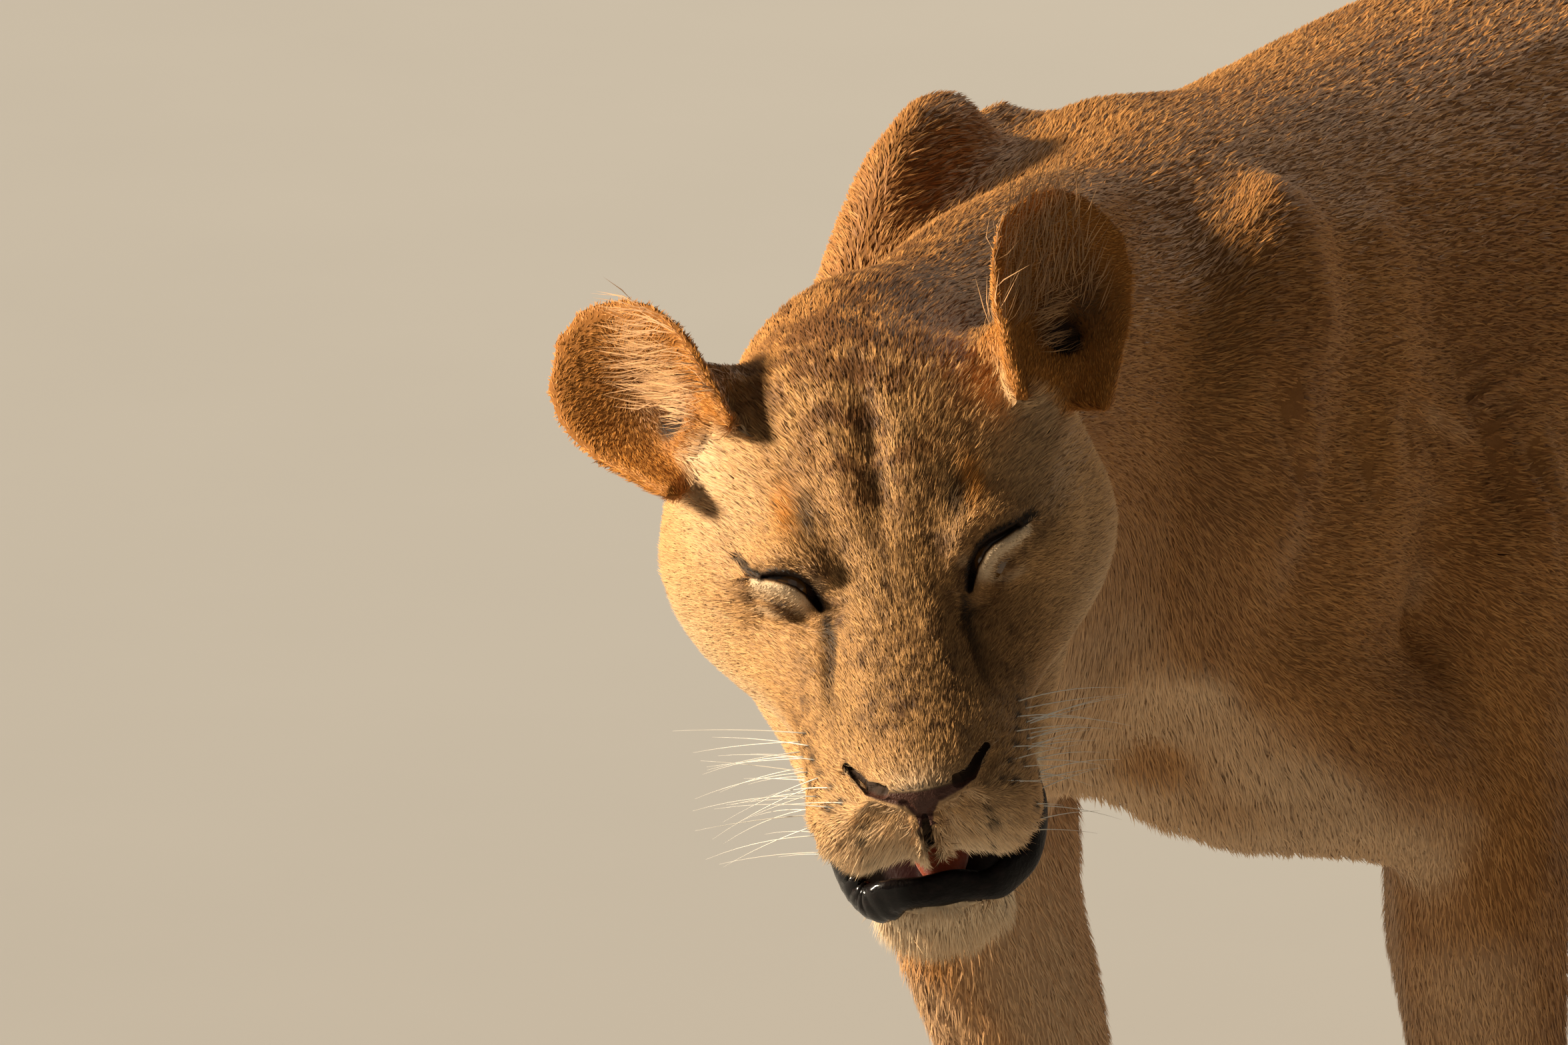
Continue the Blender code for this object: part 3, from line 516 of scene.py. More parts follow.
# What each stroke makes, how far it lifts the skin, whether it comes in a pair, its middle and its reach.
STROKES = (
    ("frontal muscles", 0.0016, both_sides, (0.016, 0.050, 0.042), (0.010, 0.050, 0.030)),
    ("brow muscles", 0.0030, both_sides, (0.050, 0.028, 0.030), (0.018, 0.016, 0.014)),
    ("hollows inside the brows", -0.0016, both_sides, (0.022, 0.018, 0.014), (0.008, 0.012, 0.012)),
    ("hollows under the eyes", -0.0022, both_sides, (0.052, -0.004, -0.022), (0.014, 0.014, 0.010)),
    ("cheek pads", 0.0020, both_sides, (0.060, -0.006, -0.034), (0.016, 0.024, 0.012)),
    ("front of the whisker pads", 0.0042, both_sides, (0.0165, -0.126, -0.049), (0.013, 0.020, 0.018)),
    ("back of the whisker pads", 0.0016, both_sides, (0.036, -0.114, -0.050), (0.014, 0.020, 0.020)),
    ("hanging lip", 0.0034, both_sides, (0.028, -0.106, -0.086), (0.022, 0.022, 0.010)),
    ("ridge above the nose", 0.0022, about, (0.0, -0.108, -0.004), (0.022, 0.014, 0.008)),
)

# Paths pressed into both sides of the face, with their depth and width.
CREASES = (
    (TEAR_PATH, 0.0024, 0.0042),
    (CHEEK_PATH, 0.0030, 0.0090),
    (WING_PATH, 0.0026, 0.0026),
    (SEAM_UNDER_NOSE, 0.0010, 0.0018),
)
print("strokes:", [name for name, *_ in STROKES])

# %% Strokes of the face


def in_philtrum(h, half, soft):
    """1 within half of the middle, on the front of the lip below the nose."""
    upright = ramp(-h[:, 2], 0.022, 0.027) * (1 - ramp(-h[:, 2], 0.070, 0.082))
    return (1 - ramp(np.abs(h[:, 0]), half, half + soft)) * upright * (h[:, 1] < -0.100)


def wedge_of(h):
    """The extra half width of the dark line where it leaves the nose."""
    return 0.0024 * ramp(h[:, 2], -0.040, -0.026)


def shape_face(mesh):
    """Strokes measured on the plain skin, applied to the skin as it stands."""
    h = to_head(plain)
    normal = normals_of(mesh) @ HEAD_AXES
    face = in_head(plain)
    move = -0.0030 * crease(h, FURROW_PATH, 0.0060)
    for _, lift, thumb, centre, reach in STROKES:
        move += lift * thumb(h, centre, reach)
    for left_path, depth, width in CREASES:
        for path in paired(left_path):
            move -= depth * crease(h, path, width)
    for path in paired(NOSTRIL_PATH):
        gap, place = along(h, path)
        width = 0.0026 - 0.0014 * place
        move -= NOSTRIL_DEPTH * (1 - ramp(gap, width * 0.2, width * 1.35))
    # The hollow below the nose is filled, and a fine groove drawn down its middle.
    move += 0.0036 * in_philtrum(h, 0.0070, 0.0040) - 0.0042 * in_philtrum(h, 0.0004, 0.0012)
    for hole in EAR_HOLES.values():
        move -= EAR_HOLE_DEPTH * about(h, hole, (0.0085, 0.0095, 0.0110))
    made = to_head(points_of(mesh)) + normal * (move * face)[:, None]
    # The lip is split below the groove: its edge rises to a low arch that shows the tongue.
    arch = NOTCH_RISE * np.clip(1 - np.abs(h[:, 0]) / NOTCH_HALF, 0, 1) ** 1.4
    at_edge = ramp(-h[:, 2], 0.040, 0.080) * (h[:, 2] > -0.095)
    made[:, 2] += arch * at_edge * (1 - ramp(h[:, 1], -0.095, -0.075))
    return from_head(made)


FOLDS = [
    [(0.100, -0.461, 0.807), (0.109, -0.456, 0.779), (0.116, -0.449, 0.749), (0.116, -0.430, 0.714)],
    [(0.113, -0.380, 0.752), (0.120, -0.374, 0.728), (0.126, -0.368, 0.700)],
    [(0.114, -0.348, 0.766), (0.120, -0.303, 0.730), (0.127, -0.253, 0.690)],
    [(0.107, -0.263, 0.780), (0.124, -0.240, 0.712), (0.150, -0.235, 0.641)],
    [(0.112, -0.235, 0.770), (0.135, -0.205, 0.690), (0.152, -0.200, 0.610)],
]
BLADE_RIDGE = [(0.022, -0.343, 0.887), (0.071, -0.383, 0.875), (0.096, -0.392, 0.835), (0.112, -0.395, 0.790)]


def shape_body(mesh):
    """Folds of loose skin behind the shoulder, and the edge of the shoulder blade."""
    points = plain
    normal = normals_of(mesh)
    move = np.zeros(len(points))
    for path in FOLDS:
        gap, place = along(points, path)
        fade = ramp(place, -0.05, 0.30) * ramp(1 - place, -0.05, 0.30)
        behind = (points - np.array(path[1]))[:, 1] > 0
        move -= 0.0055 * np.exp(-((gap / 0.0080) ** 2)) * fade
        move += 0.0032 * np.exp(-(((gap - 0.018) / 0.0095) ** 2)) * fade * np.where(behind, 1.0, 0.6)
    move += 0.0050 * crease(points, BLADE_RIDGE, 0.018)
    return points_of(mesh) + normal * move[:, None]


set_points(skin, shape_body(skin))
set_points(skin, shape_face(skin))
skin_edges = edges_of(skin)
points = points_of(skin)
points = smooth(points, skin_edges, 1, 0.5 * in_head(points))
# The wings of the nose are rounded between the nostrils and the seam.
wings = both_sides(to_head(plain), (0.0215, -0.1210, -0.0140), (0.0050, 0.0080, 0.0055))
points = melt(points, skin_edges, 12, np.clip(1.5 * wings, 0, 1), 0.5)
set_points(skin, points)
print("face shaped")

# %% [markdown]
# ## Inside the coat
# The solids reach to the tips of the hair, so the skin lies deeper by the depth of the coat: almost nothing
# on nose, lids and soles, a few millimetres on the face, most on the throat, the chest and the tail's tuft.

# %% Depth of the coat
BODY_DEPTH = 0.0065
THROAT_DEPTH = 0.006
TUFT_DEPTH = 0.012
TUFT_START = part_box("tail_tuft")[0][1]
EAR_BOXES = [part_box(name) for name in ("ear_left", "ear_right")]
EAR_MARGIN = 0.004
SKULL_MIDDLE = (0.0, 0.075, -0.040)
SKULL_HALVES = (0.110, 0.120, 0.112)


def in_ears(points):
    """1 in the cups of the ears, clear of the skull."""
    h = to_head(points)
    skull = np.linalg.norm((h - SKULL_MIDDLE) / SKULL_HALVES, axis=1)
    inside = np.zeros(len(points))
    for low, high in EAR_BOXES:
        within = (points > np.array(low) - EAR_MARGIN) & (points < np.array(high) + EAR_MARGIN)
        inside = np.maximum(inside, within.all(axis=1))
    return inside * ramp(skull, 1.0, 1.12)


def on_throat(points, normal):
    """1 under the neck and between the forelegs, where the hair hangs longest."""
    under = ramp(-normal[:, 2], -0.1, 0.7) * ramp(-points[:, 1], 0.30, 0.48)
    return under * (1 - in_head(points, 0.10, 0.16))


def coat_depth(points, normal):
    """How deep the skin lies below the tips of the hair."""
    h = to_head(points)
    depth = BODY_DEPTH * (1 - 0.62 * in_head(points, 0.12, 0.20))
    front = in_head(points) * (1 - ramp(h[:, 1], -0.02, 0.05))
    depth = depth * (1 - 0.55 * front)
    for eye_side in (1, -1):
        plane, out = eye_plane(h, eye_side)
        lids = np.exp(-((np.hypot(plane[:, 0], plane[:, 1]) / 0.022) ** 4)) * (out > 0)
        depth = depth * (1 - 0.95 * lids)
    depth = depth + THROAT_DEPTH * on_throat(points, normal)
    feet = 1 - ramp(points[:, 2], 0.10, 0.22)
    depth = depth * (1 - 0.70 * feet)
    depth = depth * (1 - 0.85 * in_ears(points))
    depth = depth + TUFT_DEPTH * ramp(points[:, 1], TUFT_START, TUFT_START + 0.03)
    return depth * ramp(points[:, 2], 0.001, 0.010)


normal = normals_of(skin)
points = points_of(skin) - normal * coat_depth(plain, normal)[:, None]
# No point of the skin is below the floor.
points[:, 2] = np.maximum(points[:, 2], 0.0)
set_points(skin, points)
skin.shade_smooth()
points = points_of(skin)
normal = normals_of(skin)
print("skin box:", points.min(0).round(3), points.max(0).round(3))

# %% [markdown]
# ## Markings
# A lioness looks plain until one looks twice: pale underneath, on the chin and round the eyes; smoky mottles
# on the forehead and the bridge of the nose; rust above each inner eye; black on lips, lid rims, the backs of
# the ears and the tail's tuft. The smoky and black masks also carry painted shade: round the eyes, in the ear
# holes and nostrils, and a painted shadow along the top of the nose pad. Each marking is a mask from 0 to 1,
# worked out by one function of place and of the way the surface faces. Skin and hair both call it, so they
# always agree.

# %% The nose pad and the whisker spots

# The upper and lower edge of the bare pad, up her brow, at these distances from its middle.
NOSE_ACROSS = [0.0, 0.004, 0.0097, 0.0183, 0.0246, 0.0290, 0.0340]
NOSE_TOP = [-0.0985, -0.0984, -0.0980, -0.0967, -0.0945, -0.0925, -0.0890]
NOSE_BOTTOM = [-0.1195, -0.1135, -0.1054, -0.1022, -0.0992, -0.0958, -0.0898]
SPOT_ROWS = 5
SPOTS_IN_ROW = 7
SPOT_RADIUS = 0.0022


def whisker_roots():
    """Places of the whiskers in the head's frame, on her left pad: rows that fan back and up."""
    h = to_head(plain)
    h = h[(h[:, 0] > 0.015) & (h[:, 1] < -0.03) & (h[:, 2] > -0.11)]
    roots = []
    for row in range(SPOT_ROWS):
        for t in np.linspace(0, 1, SPOTS_IN_ROW):
            x = 0.030 + 0.028 * t**0.7 + 0.001 * row
            y = -0.119 + 0.060 * t + 0.003 * row
            z = -0.032 - 0.0105 * row + 0.006 * t
            roots.append(tuple(h[np.linalg.norm(h - (x, y, z), axis=1).argmin()]))
    return roots


WHISKER_ROOTS = whisker_roots()


def whisker_spots(h):
    """1 on the dark spots of both whisker pads."""
    spots = np.zeros(len(h))
    near = (np.abs(h[:, 0]) < 0.08) & (h[:, 1] < -0.04) & (h[:, 2] < -0.02) & (h[:, 2] > -0.10)
    folded = np.c_[np.abs(h[near][:, 0]), h[near][:, 1:]]
    found = np.zeros(len(folded))
    for root in WHISKER_ROOTS:
        found = np.maximum(found, bump_at(np.linalg.norm(folded - root, axis=1), 0, SPOT_RADIUS))
    spots[near] = found
    return spots


def leather_of(h, margin=0.0):
    """1 on the bare pad of the nose, widened by margin."""
    side = np.abs(h[:, 0])
    height = h @ BROW_AXIS
    nose = ramp(np.interp(side, NOSE_ACROSS, NOSE_TOP) + margin - height, -0.0006, 0.0006)
    nose = nose * ramp(height - np.interp(side, NOSE_ACROSS, NOSE_BOTTOM) + margin, -0.0006, 0.0006)
    return nose * (h[:, 1] < -0.095) * (h[:, 2] > -0.036) * (side < NOSE_ACROSS[-1] + margin)


print("whiskers on each side:", len(WHISKER_ROOTS))

# %% [markdown]
# ## Mottles on the forehead
# The mottles are hairs with dark tips that lie in short rows. Noise alone gives blots, so some hundred dashes
# are dealt out over the forehead with a fixed seed, each longer along the hair than across it. Each has a
# place, a half width, a half length, a slant and a darkness of its own.

# %% The dashes of the forehead
DASH_RNG = np.random.default_rng(7)
DASH_COUNT = 300
DASH_X = DASH_RNG.normal(0, 0.030, DASH_COUNT)
DASH_Y = DASH_RNG.uniform(-0.085, 0.215, DASH_COUNT)
DASH_WIDE = DASH_RNG.uniform(0.0013, 0.0027, DASH_COUNT)
DASH_LONG = DASH_RNG.uniform(0.0040, 0.0095, DASH_COUNT)
DASH_SLANT = DASH_RNG.normal(0, 0.16, DASH_COUNT) + 1.2 * DASH_X
DASH_DARK = DASH_RNG.uniform(0.45, 1.0, DASH_COUNT) * np.where(DASH_Y < 0.03, 0.8, 1.0)


def mottled(h):
    """Short dark dashes on the forehead and the bridge, longer along the hair than across it."""
    total = np.zeros(len(h))
    near = (h[:, 2] > -0.06) & (np.abs(h[:, 0]) < 0.09) & (h[:, 1] > -0.10) & (h[:, 1] < 0.24)
    x, y = h[near, 0], h[near, 1]
    found = np.zeros(len(x))
    for i in range(DASH_COUNT):
        ahead = y - DASH_Y[i]
        inside = np.abs(ahead) < 2.2 * DASH_LONG[i]
        across = (x[inside] - DASH_X[i] - DASH_SLANT[i] * ahead[inside]) / DASH_WIDE[i]
        dash = DASH_DARK[i] * np.exp(-(across**2) - (ahead[inside] / DASH_LONG[i]) ** 2)
        found[inside] = np.maximum(found[inside], dash)
    total[near] = found
    return total


print("dashes:", DASH_COUNT)

# %% [markdown]
# ## Soft spots, pale and smoky
# Most markings have no edge: they fade over a hand's breadth on the body and over a finger's on the face.
# Each is one soft spot in a table, so a marking is moved or dimmed by changing one number.

# %% Pale and smoky places
EAR_BASE = ((0.092, 0.098, 0.030), (0.018, 0.018, 0.020))

# Of each spot: what it is, how strong, whether it comes in a pair, its middle and its reach.
PALE_SPOTS = (
    ("whisker pads", 0.95, both_sides, (0.026, -0.128, -0.062), (0.030, 0.034, 0.030)),
    ("cheeks", 0.60, both_sides, (0.100, 0.040, -0.075), (0.040, 0.060, 0.050)),
    ("temples", 0.25, both_sides, (0.085, 0.070, 0.020), (0.028, 0.045, 0.028)),
    ("rim above the nose", 0.80, about, (0, -0.132, -0.006), (0.034, 0.013, 0.010)),
    ("feet of the ears", 0.40, both_sides, *EAR_BASE),
)
SMOKY_SPOTS = (
    ("inner brows", 0.85, both_sides, (0.031, 0.012, 0.020), (0.013, 0.018, 0.016)),
    ("bridge, near the nose", 0.85, about, (0.002, -0.086, 0.000), (0.030, 0.022, 0.022)),
    ("bridge, between the eyes", 0.66, about, (0.0, -0.046, 0.000), (0.034, 0.060, 0.026)),
    ("sides of the muzzle", 0.50, both_sides, (0.044, -0.062, -0.030), (0.016, 0.040, 0.022)),
    ("below the eyes", 0.62, both_sides, (0.052, -0.026, -0.030), (0.018, 0.034, 0.020)),
)
CHEST = (0.02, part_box("trunk")[0][1] + 0.03, 0.60)


def spotted(h, spots):
    """The soft spots of a table, added up."""
    return sum(strength * spot(h, centre, reach) for _, strength, spot, centre, reach in spots)


def pale_places(points, normal, h):
    """Below the body and inside the legs, on feet and chest, and on chin, lip pads, cheeks and temples."""
    below = 0.58 * ramp(-normal[:, 2], -0.05, 0.75) * (points[:, 2] > 0.05)
    inside = np.clip(-normal[:, 0] * np.sign(points[:, 0] + 0.02), 0, 1)
    legs = 0.62 * inside * (1 - ramp(points[:, 2], 0.42, 0.58))
    feet = 0.28 * (1 - ramp(points[:, 2], 0.05, 0.20))
    chest = 0.24 * about(points, CHEST, (0.12, 0.16, 0.16)) * ramp(-normal[:, 1], -0.2, 0.6)
    chin = ramp(-h[:, 2], 0.102, 0.116) * (1 - ramp(h[:, 1], -0.03, 0.01))
    face = in_head(points) * np.clip(spotted(h, PALE_SPOTS) + chin, 0, 1)
    return np.maximum.reduce([below, legs, feet, chest, face])


def smoke_and_painted_shade(points, h):
    """The furrow, the forehead and the bridge, and painted shade round the eyes."""
    head = in_head(points)
    smoke = 0.44 * bump_at(along(h, FURROW_PATH)[0], 0, 0.0070)
    smoke += mottled(h) * head + spotted(h, SMOKY_SPOTS)
    for side in (1, -1):
        eye = parting(h, side)
        below = ~eye.above & (eye.out > -0.004)
        # Painted shade in the crease below each lower lid.
        smoke += 0.90 * bump_at(eye.rim, 0.0120, 0.0046) * below * ramp(eye.place, -0.2, 0.2)
        # Painted shade on each upper lid, under the hanging brow.
        smoke += 0.45 * bump_at(eye.rim, 0.0045, 0.0034) * eye.above * (eye.out > 0)
    return np.clip(smoke, 0, 1) * head


print("pale spots:", len(PALE_SPOTS), "smoky spots:", len(SMOKY_SPOTS))

# %% [markdown]
# ## Black, which has edges
# The black of lids and lips is sharp, because it is bare skin that shows. The black in the nostrils and the
# ear holes is painted shade, and the black strip along the top of the nose pad is a painted shadow. The black
# follows the paths that the sculpting used, so a line and the crease it lies in can't drift apart.

# %% Black places
LIP_RIM_PATH = [
    (0.046, -0.112, -0.080), (0.053, -0.094, -0.078), (0.057, -0.070, -0.080), (0.058, -0.045, -0.080),
]


def black_round_eyes(h):
    """The rims of the lids, the lines past their outer corners, and the tear lines."""
    black = np.zeros(len(h))
    for side in (1, -1):
        eye = parting(h, side)
        rims = 1 - ramp(eye.rim, 0.0002 + 0.0008 * eye.above, 0.0012 + 0.0022 * eye.above)
        gap, place = along(eye.plane, OUTER_LINE[side])
        line = (1 - ramp(gap, 0.0010, 0.0030)) * (1 - 0.4 * place)
        black = np.maximum(black, np.maximum(rims, line) * (eye.out > 0))
    for path in paired(TEAR_PATH):
        gap, place = along(h, path)
        black = np.maximum(black, 0.85 * bump_at(gap, 0, 0.0036) * (1 - 0.8 * place))
    inner_brow = both_sides(h, (0.0370, 0.034, 0.028), (0.0042, 0.0125, 0.014))
    return np.maximum(black, 0.66 * inner_brow)


def black_and_painted_shade_on_muzzle(h):
    """Painted shadow along the top edge of the nose pad, painted shade in the nostrils, and the black of the
    line down the lip, the whisker spots and the rim of the lip.
    """
    # Painted shadow: a black strip under the furred edge that hangs over the top of the nose pad.
    above_nose = np.abs(h @ BROW_AXIS - np.interp(np.abs(h[:, 0]), NOSE_ACROSS, NOSE_TOP))
    black = 0.8 * (1 - ramp(above_nose, 0.0004, 0.0017)) * leather_of(h, 0.0012)
    black = np.maximum(black, 0.9 * in_philtrum(h, 0.0004 + wedge_of(h), 0.0007))
    black = np.maximum(black, 0.85 * whisker_spots(h))
    for path in paired(LIP_RIM_PATH):
        black = np.maximum(black, 1 - ramp(along(h, path)[0], 0.0030, 0.0055))
    # Painted shade: black inside each nostril.
    for path in paired(NOSTRIL_PATH):
        gap, place = along(h, path)
        black = np.maximum(black, 1 - ramp(gap, 0.0012, 0.0032 - 0.0016 * place))
    return black


def black_and_painted_shade_in_ears(points, normal, h):
    """The black backs of the ears, and painted shade in their holes and round each hole."""
    cup = in_ears(points)
    black = 0.80 * cup * ramp((normal @ HEAD_AXES)[:, 1], 0.30, 0.70)
    for side, hole in EAR_HOLES.items():
        # Painted shade: black in each ear hole, and a softer painted shade over the cup round it.
        canal = about(h, np.array(hole) + (0.001 * side, -0.002, -0.002), (0.0075, 0.0105, 0.0125))
        shade = about(h, np.array(hole) + (0.010 * side, 0.010, 0.006), (0.017, 0.022, 0.020))
        black = np.maximum(black, np.maximum(ramp(canal, 0.10, 0.65), 0.62 * shade * cup))
    return black


def lid_band(h):
    """The pale furred band of the lower lid, which nothing darkens."""
    band = np.zeros(len(h))
    for side in (1, -1):
        eye = parting(h, side)
        lower = ~eye.above & (eye.out > 0)
        across = ramp(eye.rim, 0.0006, 0.0016) * (1 - ramp(eye.rim, 0.0062, 0.0085))
        band = np.maximum(band, across * lower * ramp(eye.place, 0.02, 0.25))
    return band


print("black along", len(LIP_RIM_PATH), "places of each lip")

# %% [markdown]
# ## All the masks together
# Where two markings meet, one has to win: rust lies over pale, the pale band of the lower lid over smoke, and
# black over all. This is settled here, once, and not in the materials.

# %% All the masks
CROWN_PATH = [
    (0.0, 0.062, 0.046), (0.0, 0.095, 0.050), (0.0, 0.160, 0.050), (0.0, 0.240, 0.020),
    (0.0, 0.300, -0.010),
]


def inside_mouth(h, normal):
    """1 where the skin lines the mouth: its roof looks down, its floor looks up."""
    within = (h[:, 2] < -0.080) & (h[:, 2] > -0.122) & (np.abs(h[:, 0]) < 0.054)
    within &= (h[:, 1] > -0.110) & (h[:, 1] < 0.0)
    upward = (normal @ HEAD_AXES)[:, 2]
    return within * ramp(np.where(h[:, 2] > -0.1, -upward, upward), 0.25, 0.6)


def markings(points, normal):
    """Every mask, at points of the plain skin that face along normal."""
    h = to_head(points)
    head = in_head(points)
    cup = in_ears(points)
    band = lid_band(h)

    # Rust lies over the inner eyes and in the ears, dun on the face, umber patches from brow to nape.
    over_eyes = both_sides(h, (0.0460, 0.042, 0.031), (0.0060, 0.0140, 0.020))
    rust = np.clip(1.45 * over_eyes + 0.90 * cup, 0, 1)
    fair = head * (1 - ramp(h[:, 1], 0.09, 0.15)) * (1 - cup)
    crown_width = 0.040 + 0.028 * ramp(h[:, 1], 0.05, 0.14)
    crown = np.exp(-((along(h, CROWN_PATH)[0] / crown_width) ** 4)) * (1 - cup)

    pale = np.maximum(pale_places(points, normal, h) * (1 - rust), 0.85 * band)
    smoke = smoke_and_painted_shade(points, h) * (1 - band)
    tuft = ramp(points[:, 1], TUFT_START - 0.01, TUFT_START + 0.02)
    face_black = np.maximum(black_round_eyes(h), black_and_painted_shade_on_muzzle(h))
    black = np.maximum.reduce([face_black, black_and_painted_shade_in_ears(points, normal, h), tuft])

    # Bare skin: the nose pad, the inside of the mouth, and the soles.
    sole = (1 - ramp(points[:, 2], 0.002, 0.012)) * ramp(-normal[:, 2], 0.2, 0.7)
    return {
        "pale": pale, "smoke": smoke, "fair": fair, "crown": crown, "rust": rust, "black": black,
        "leather": leather_of(h), "mouth": inside_mouth(h, normal) * head, "sole": sole,
    }


skin_masks = markings(plain, normal)
for name, mask in skin_masks.items():
    add_layer(skin, name, mask)
    print(f"{name:8s} mean {mask.mean():.3f} max {mask.max():.2f}")

# %% [markdown]
# ## Shader maths in plain Python
# Node trees grow unreadable when every sum is five lines. This small class wraps one output socket; adding or
# multiplying two of them adds the Math node. Colours go through Mix nodes, because a Math node turns them
# grey. What is the same all over a surface is set on the shader itself, so only what varies needs nodes.

# %% A socket that does sums


class Value:
    def __init__(self, tree, socket):
        self.tree = tree
        self.socket = socket

    def _math(self, operation, *values):
        node = self.tree.node("ShaderNodeMath", operation=operation, inputs=dict(enumerate(values)))
        return Value(self.tree, node.outputs[0])

    def __add__(self, other):
        return self._math("ADD", self, other)

    def __radd__(self, other):
        return self._math("ADD", other, self)

    def __sub__(self, other):
        return self._math("SUBTRACT", self, other)

    def __rsub__(self, other):
        return self._math("SUBTRACT", other, self)

    def __mul__(self, other):
        return self._math("MULTIPLY", self, other)

    def __rmul__(self, other):
        return self._math("MULTIPLY", other, self)

    def ramp(self, low, high):
        inputs = {"Value": self, "From Min": low, "From Max": high}
        node = self.tree.node("ShaderNodeMapRange", interpolation_type="SMOOTHSTEP", inputs=inputs)
        return Value(self.tree, node.outputs["Result"])

    def over(self, below, above):
        """A colour: below where this value is 0, above where it is 1."""
        node = self.tree.node(
            "ShaderNodeMix", data_type="RGBA", clamp_factor=True, inputs={0: self, 6: below, 7: above}
        )
        return Value(self.tree, node.outputs[2])


print("a socket can now be added, subtracted and multiplied")

# %% A material under construction


class Finish:
    """A material under construction. Constants go to the shader, with _ for a space in a socket's name."""

    def __init__(self, name, **constants):
        self.material = bpy.data.materials.new(name)
        self.material.use_nodes = True
        self.nodes = self.material.node_tree.nodes
        self.shader = self.nodes["Principled BSDF"]
        for socket, value in constants.items():
            self.shader.inputs[socket.replace("_", " ")].default_value = value

    def node(self, kind, inputs=None, **settings):
        made = self.nodes.new(kind)
        for setting, value in settings.items():
            setattr(made, setting, value)
        for key, value in (inputs or {}).items():
            self.feed(made.inputs[key], value)
        return made

    def feed(self, socket, value):
        if isinstance(value, Value):
            self.material.node_tree.links.new(value.socket, socket)
        elif isinstance(value, tuple) and len(value) == 3 and socket.type == "RGBA":
            socket.default_value = (*value, 1)
        else:
            socket.default_value = value

    def attribute(self, name):
        return Value(self, self.node("ShaderNodeAttribute", attribute_name=name).outputs["Fac"])

    def noise(self, scale, detail=3.0, roughness=0.55, stretch=(1, 1, 1)):
        place = self.node("ShaderNodeTexCoord").outputs["Object"]
        mapped = self.node("ShaderNodeMapping", inputs={"Vector": Value(self, place), "Scale": stretch})
        vector = Value(self, mapped.outputs[0])
        inputs = {"Vector": vector, "Scale": scale, "Detail": detail, "Roughness": roughness}
        return Value(self, self.node("ShaderNodeTexNoise", inputs=inputs).outputs["Fac"])

    def bump(self, height, strength, distance):
        inputs = {"Height": height, "Strength": strength, "Distance": distance}
        self.set("Normal", Value(self, self.node("ShaderNodeBump", inputs=inputs).outputs[0]))

    def set(self, socket, value):
        self.feed(self.shader.inputs[socket], value)


print("a finish can make:", [name for name in vars(Finish) if not name.startswith("_")])

# %% [markdown]
# ## Colours of the coat
# The colours are mostly those of the hair itself, before any light: a warm tawny that drifts from golden to
# brown over a hand's breadth, broken by fine smoky mottles. The smoky and black masks also bring in painted
# shade round the eyes, in the ear holes and nostrils, and a painted shadow on the nose pad. One function
# paints them, for the skin and for the hair, so that nothing shows where the hair parts.

# %% Coat colours
TAWNY = (0.500, 0.215, 0.052)
TAWNY_DEEP = (0.290, 0.110, 0.026)
DUN = (0.550, 0.298, 0.108)
CREAM = (0.880, 0.690, 0.460)
SMOKE_AND_SHADE = (0.100, 0.046, 0.017)
UMBER = (0.165, 0.062, 0.015)
RUST = (0.510, 0.185, 0.022)
BLACK_AND_SHADE = (0.010, 0.008, 0.007)
SHADE_UNDER_HAIR = (0.060, 0.027, 0.011)
SHADED_ROOT = (0.090, 0.038, 0.014)
GOLDEN_TIP = (0.860, 0.500, 0.180)
NOSE = (0.070, 0.026, 0.016)
MOUTH = (0.020, 0.006, 0.006)
PAD = (0.060, 0.045, 0.040)


def coat_colour(finish):
    """The colour of the coat, with its painted shade, and how much of it is dark marking or painted shade."""
    drift = finish.noise(7.0, 3.0).ramp(0.35, 0.68)
    patches = finish.noise(52.0, 4.0, 0.64).ramp(0.43, 0.56)
    mottle = finish.noise(95.0, 4.0, 0.65).ramp(0.38, 0.66)
    fine = finish.noise(420.0, 2.0).ramp(0.25, 0.75)
    colour = (drift * 0.55 + fine * 0.25).over(TAWNY, TAWNY_DEEP)
    colour = (finish.attribute("fair") * (0.95 - drift * 0.30)).over(colour, DUN)
    umber = finish.attribute("crown") * (patches * 0.84 + 0.06)
    colour = umber.over(colour, UMBER)
    colour = (finish.attribute("pale") * (0.82 + fine * 0.18)).over(colour, CREAM)
    colour = finish.attribute("rust").over(colour, RUST)
    smoke = finish.attribute("smoke")
    # The smoky mask carries painted shade round the eyes as well as the mottles.
    colour = (smoke * (mottle * 0.78 + 0.28)).over(colour, SMOKE_AND_SHADE)
    # The black mask carries painted shade in ear holes and nostrils, and a painted shadow on the nose pad, as
    # well as black markings.
    colour = finish.attribute("black").over(colour, BLACK_AND_SHADE)
    return colour, umber + smoke * 0.8


print("tawny", TAWNY, "drifts to", TAWNY_DEEP)

# %% [markdown]
# ## Two finishes from one colour
# The skin under the hair is painted darker than the hair, as painted shade between the locks. Where it is
# bare, it is pebbled brown leather on the nose, wet near-black in the mouth, and grey on the soles. The hair
# is a little glossier, golden at the tips and dark at the roots, and each lock is lighter or darker than its
# neighbours.

# %% Skin and hair
skin_finish = Finish("skin_finish", Coat_Roughness=0.25, Specular_IOR_Level=0.22)
leather = skin_finish.attribute("leather")
mouth = skin_finish.attribute("mouth")
colour, _ = coat_colour(skin_finish)
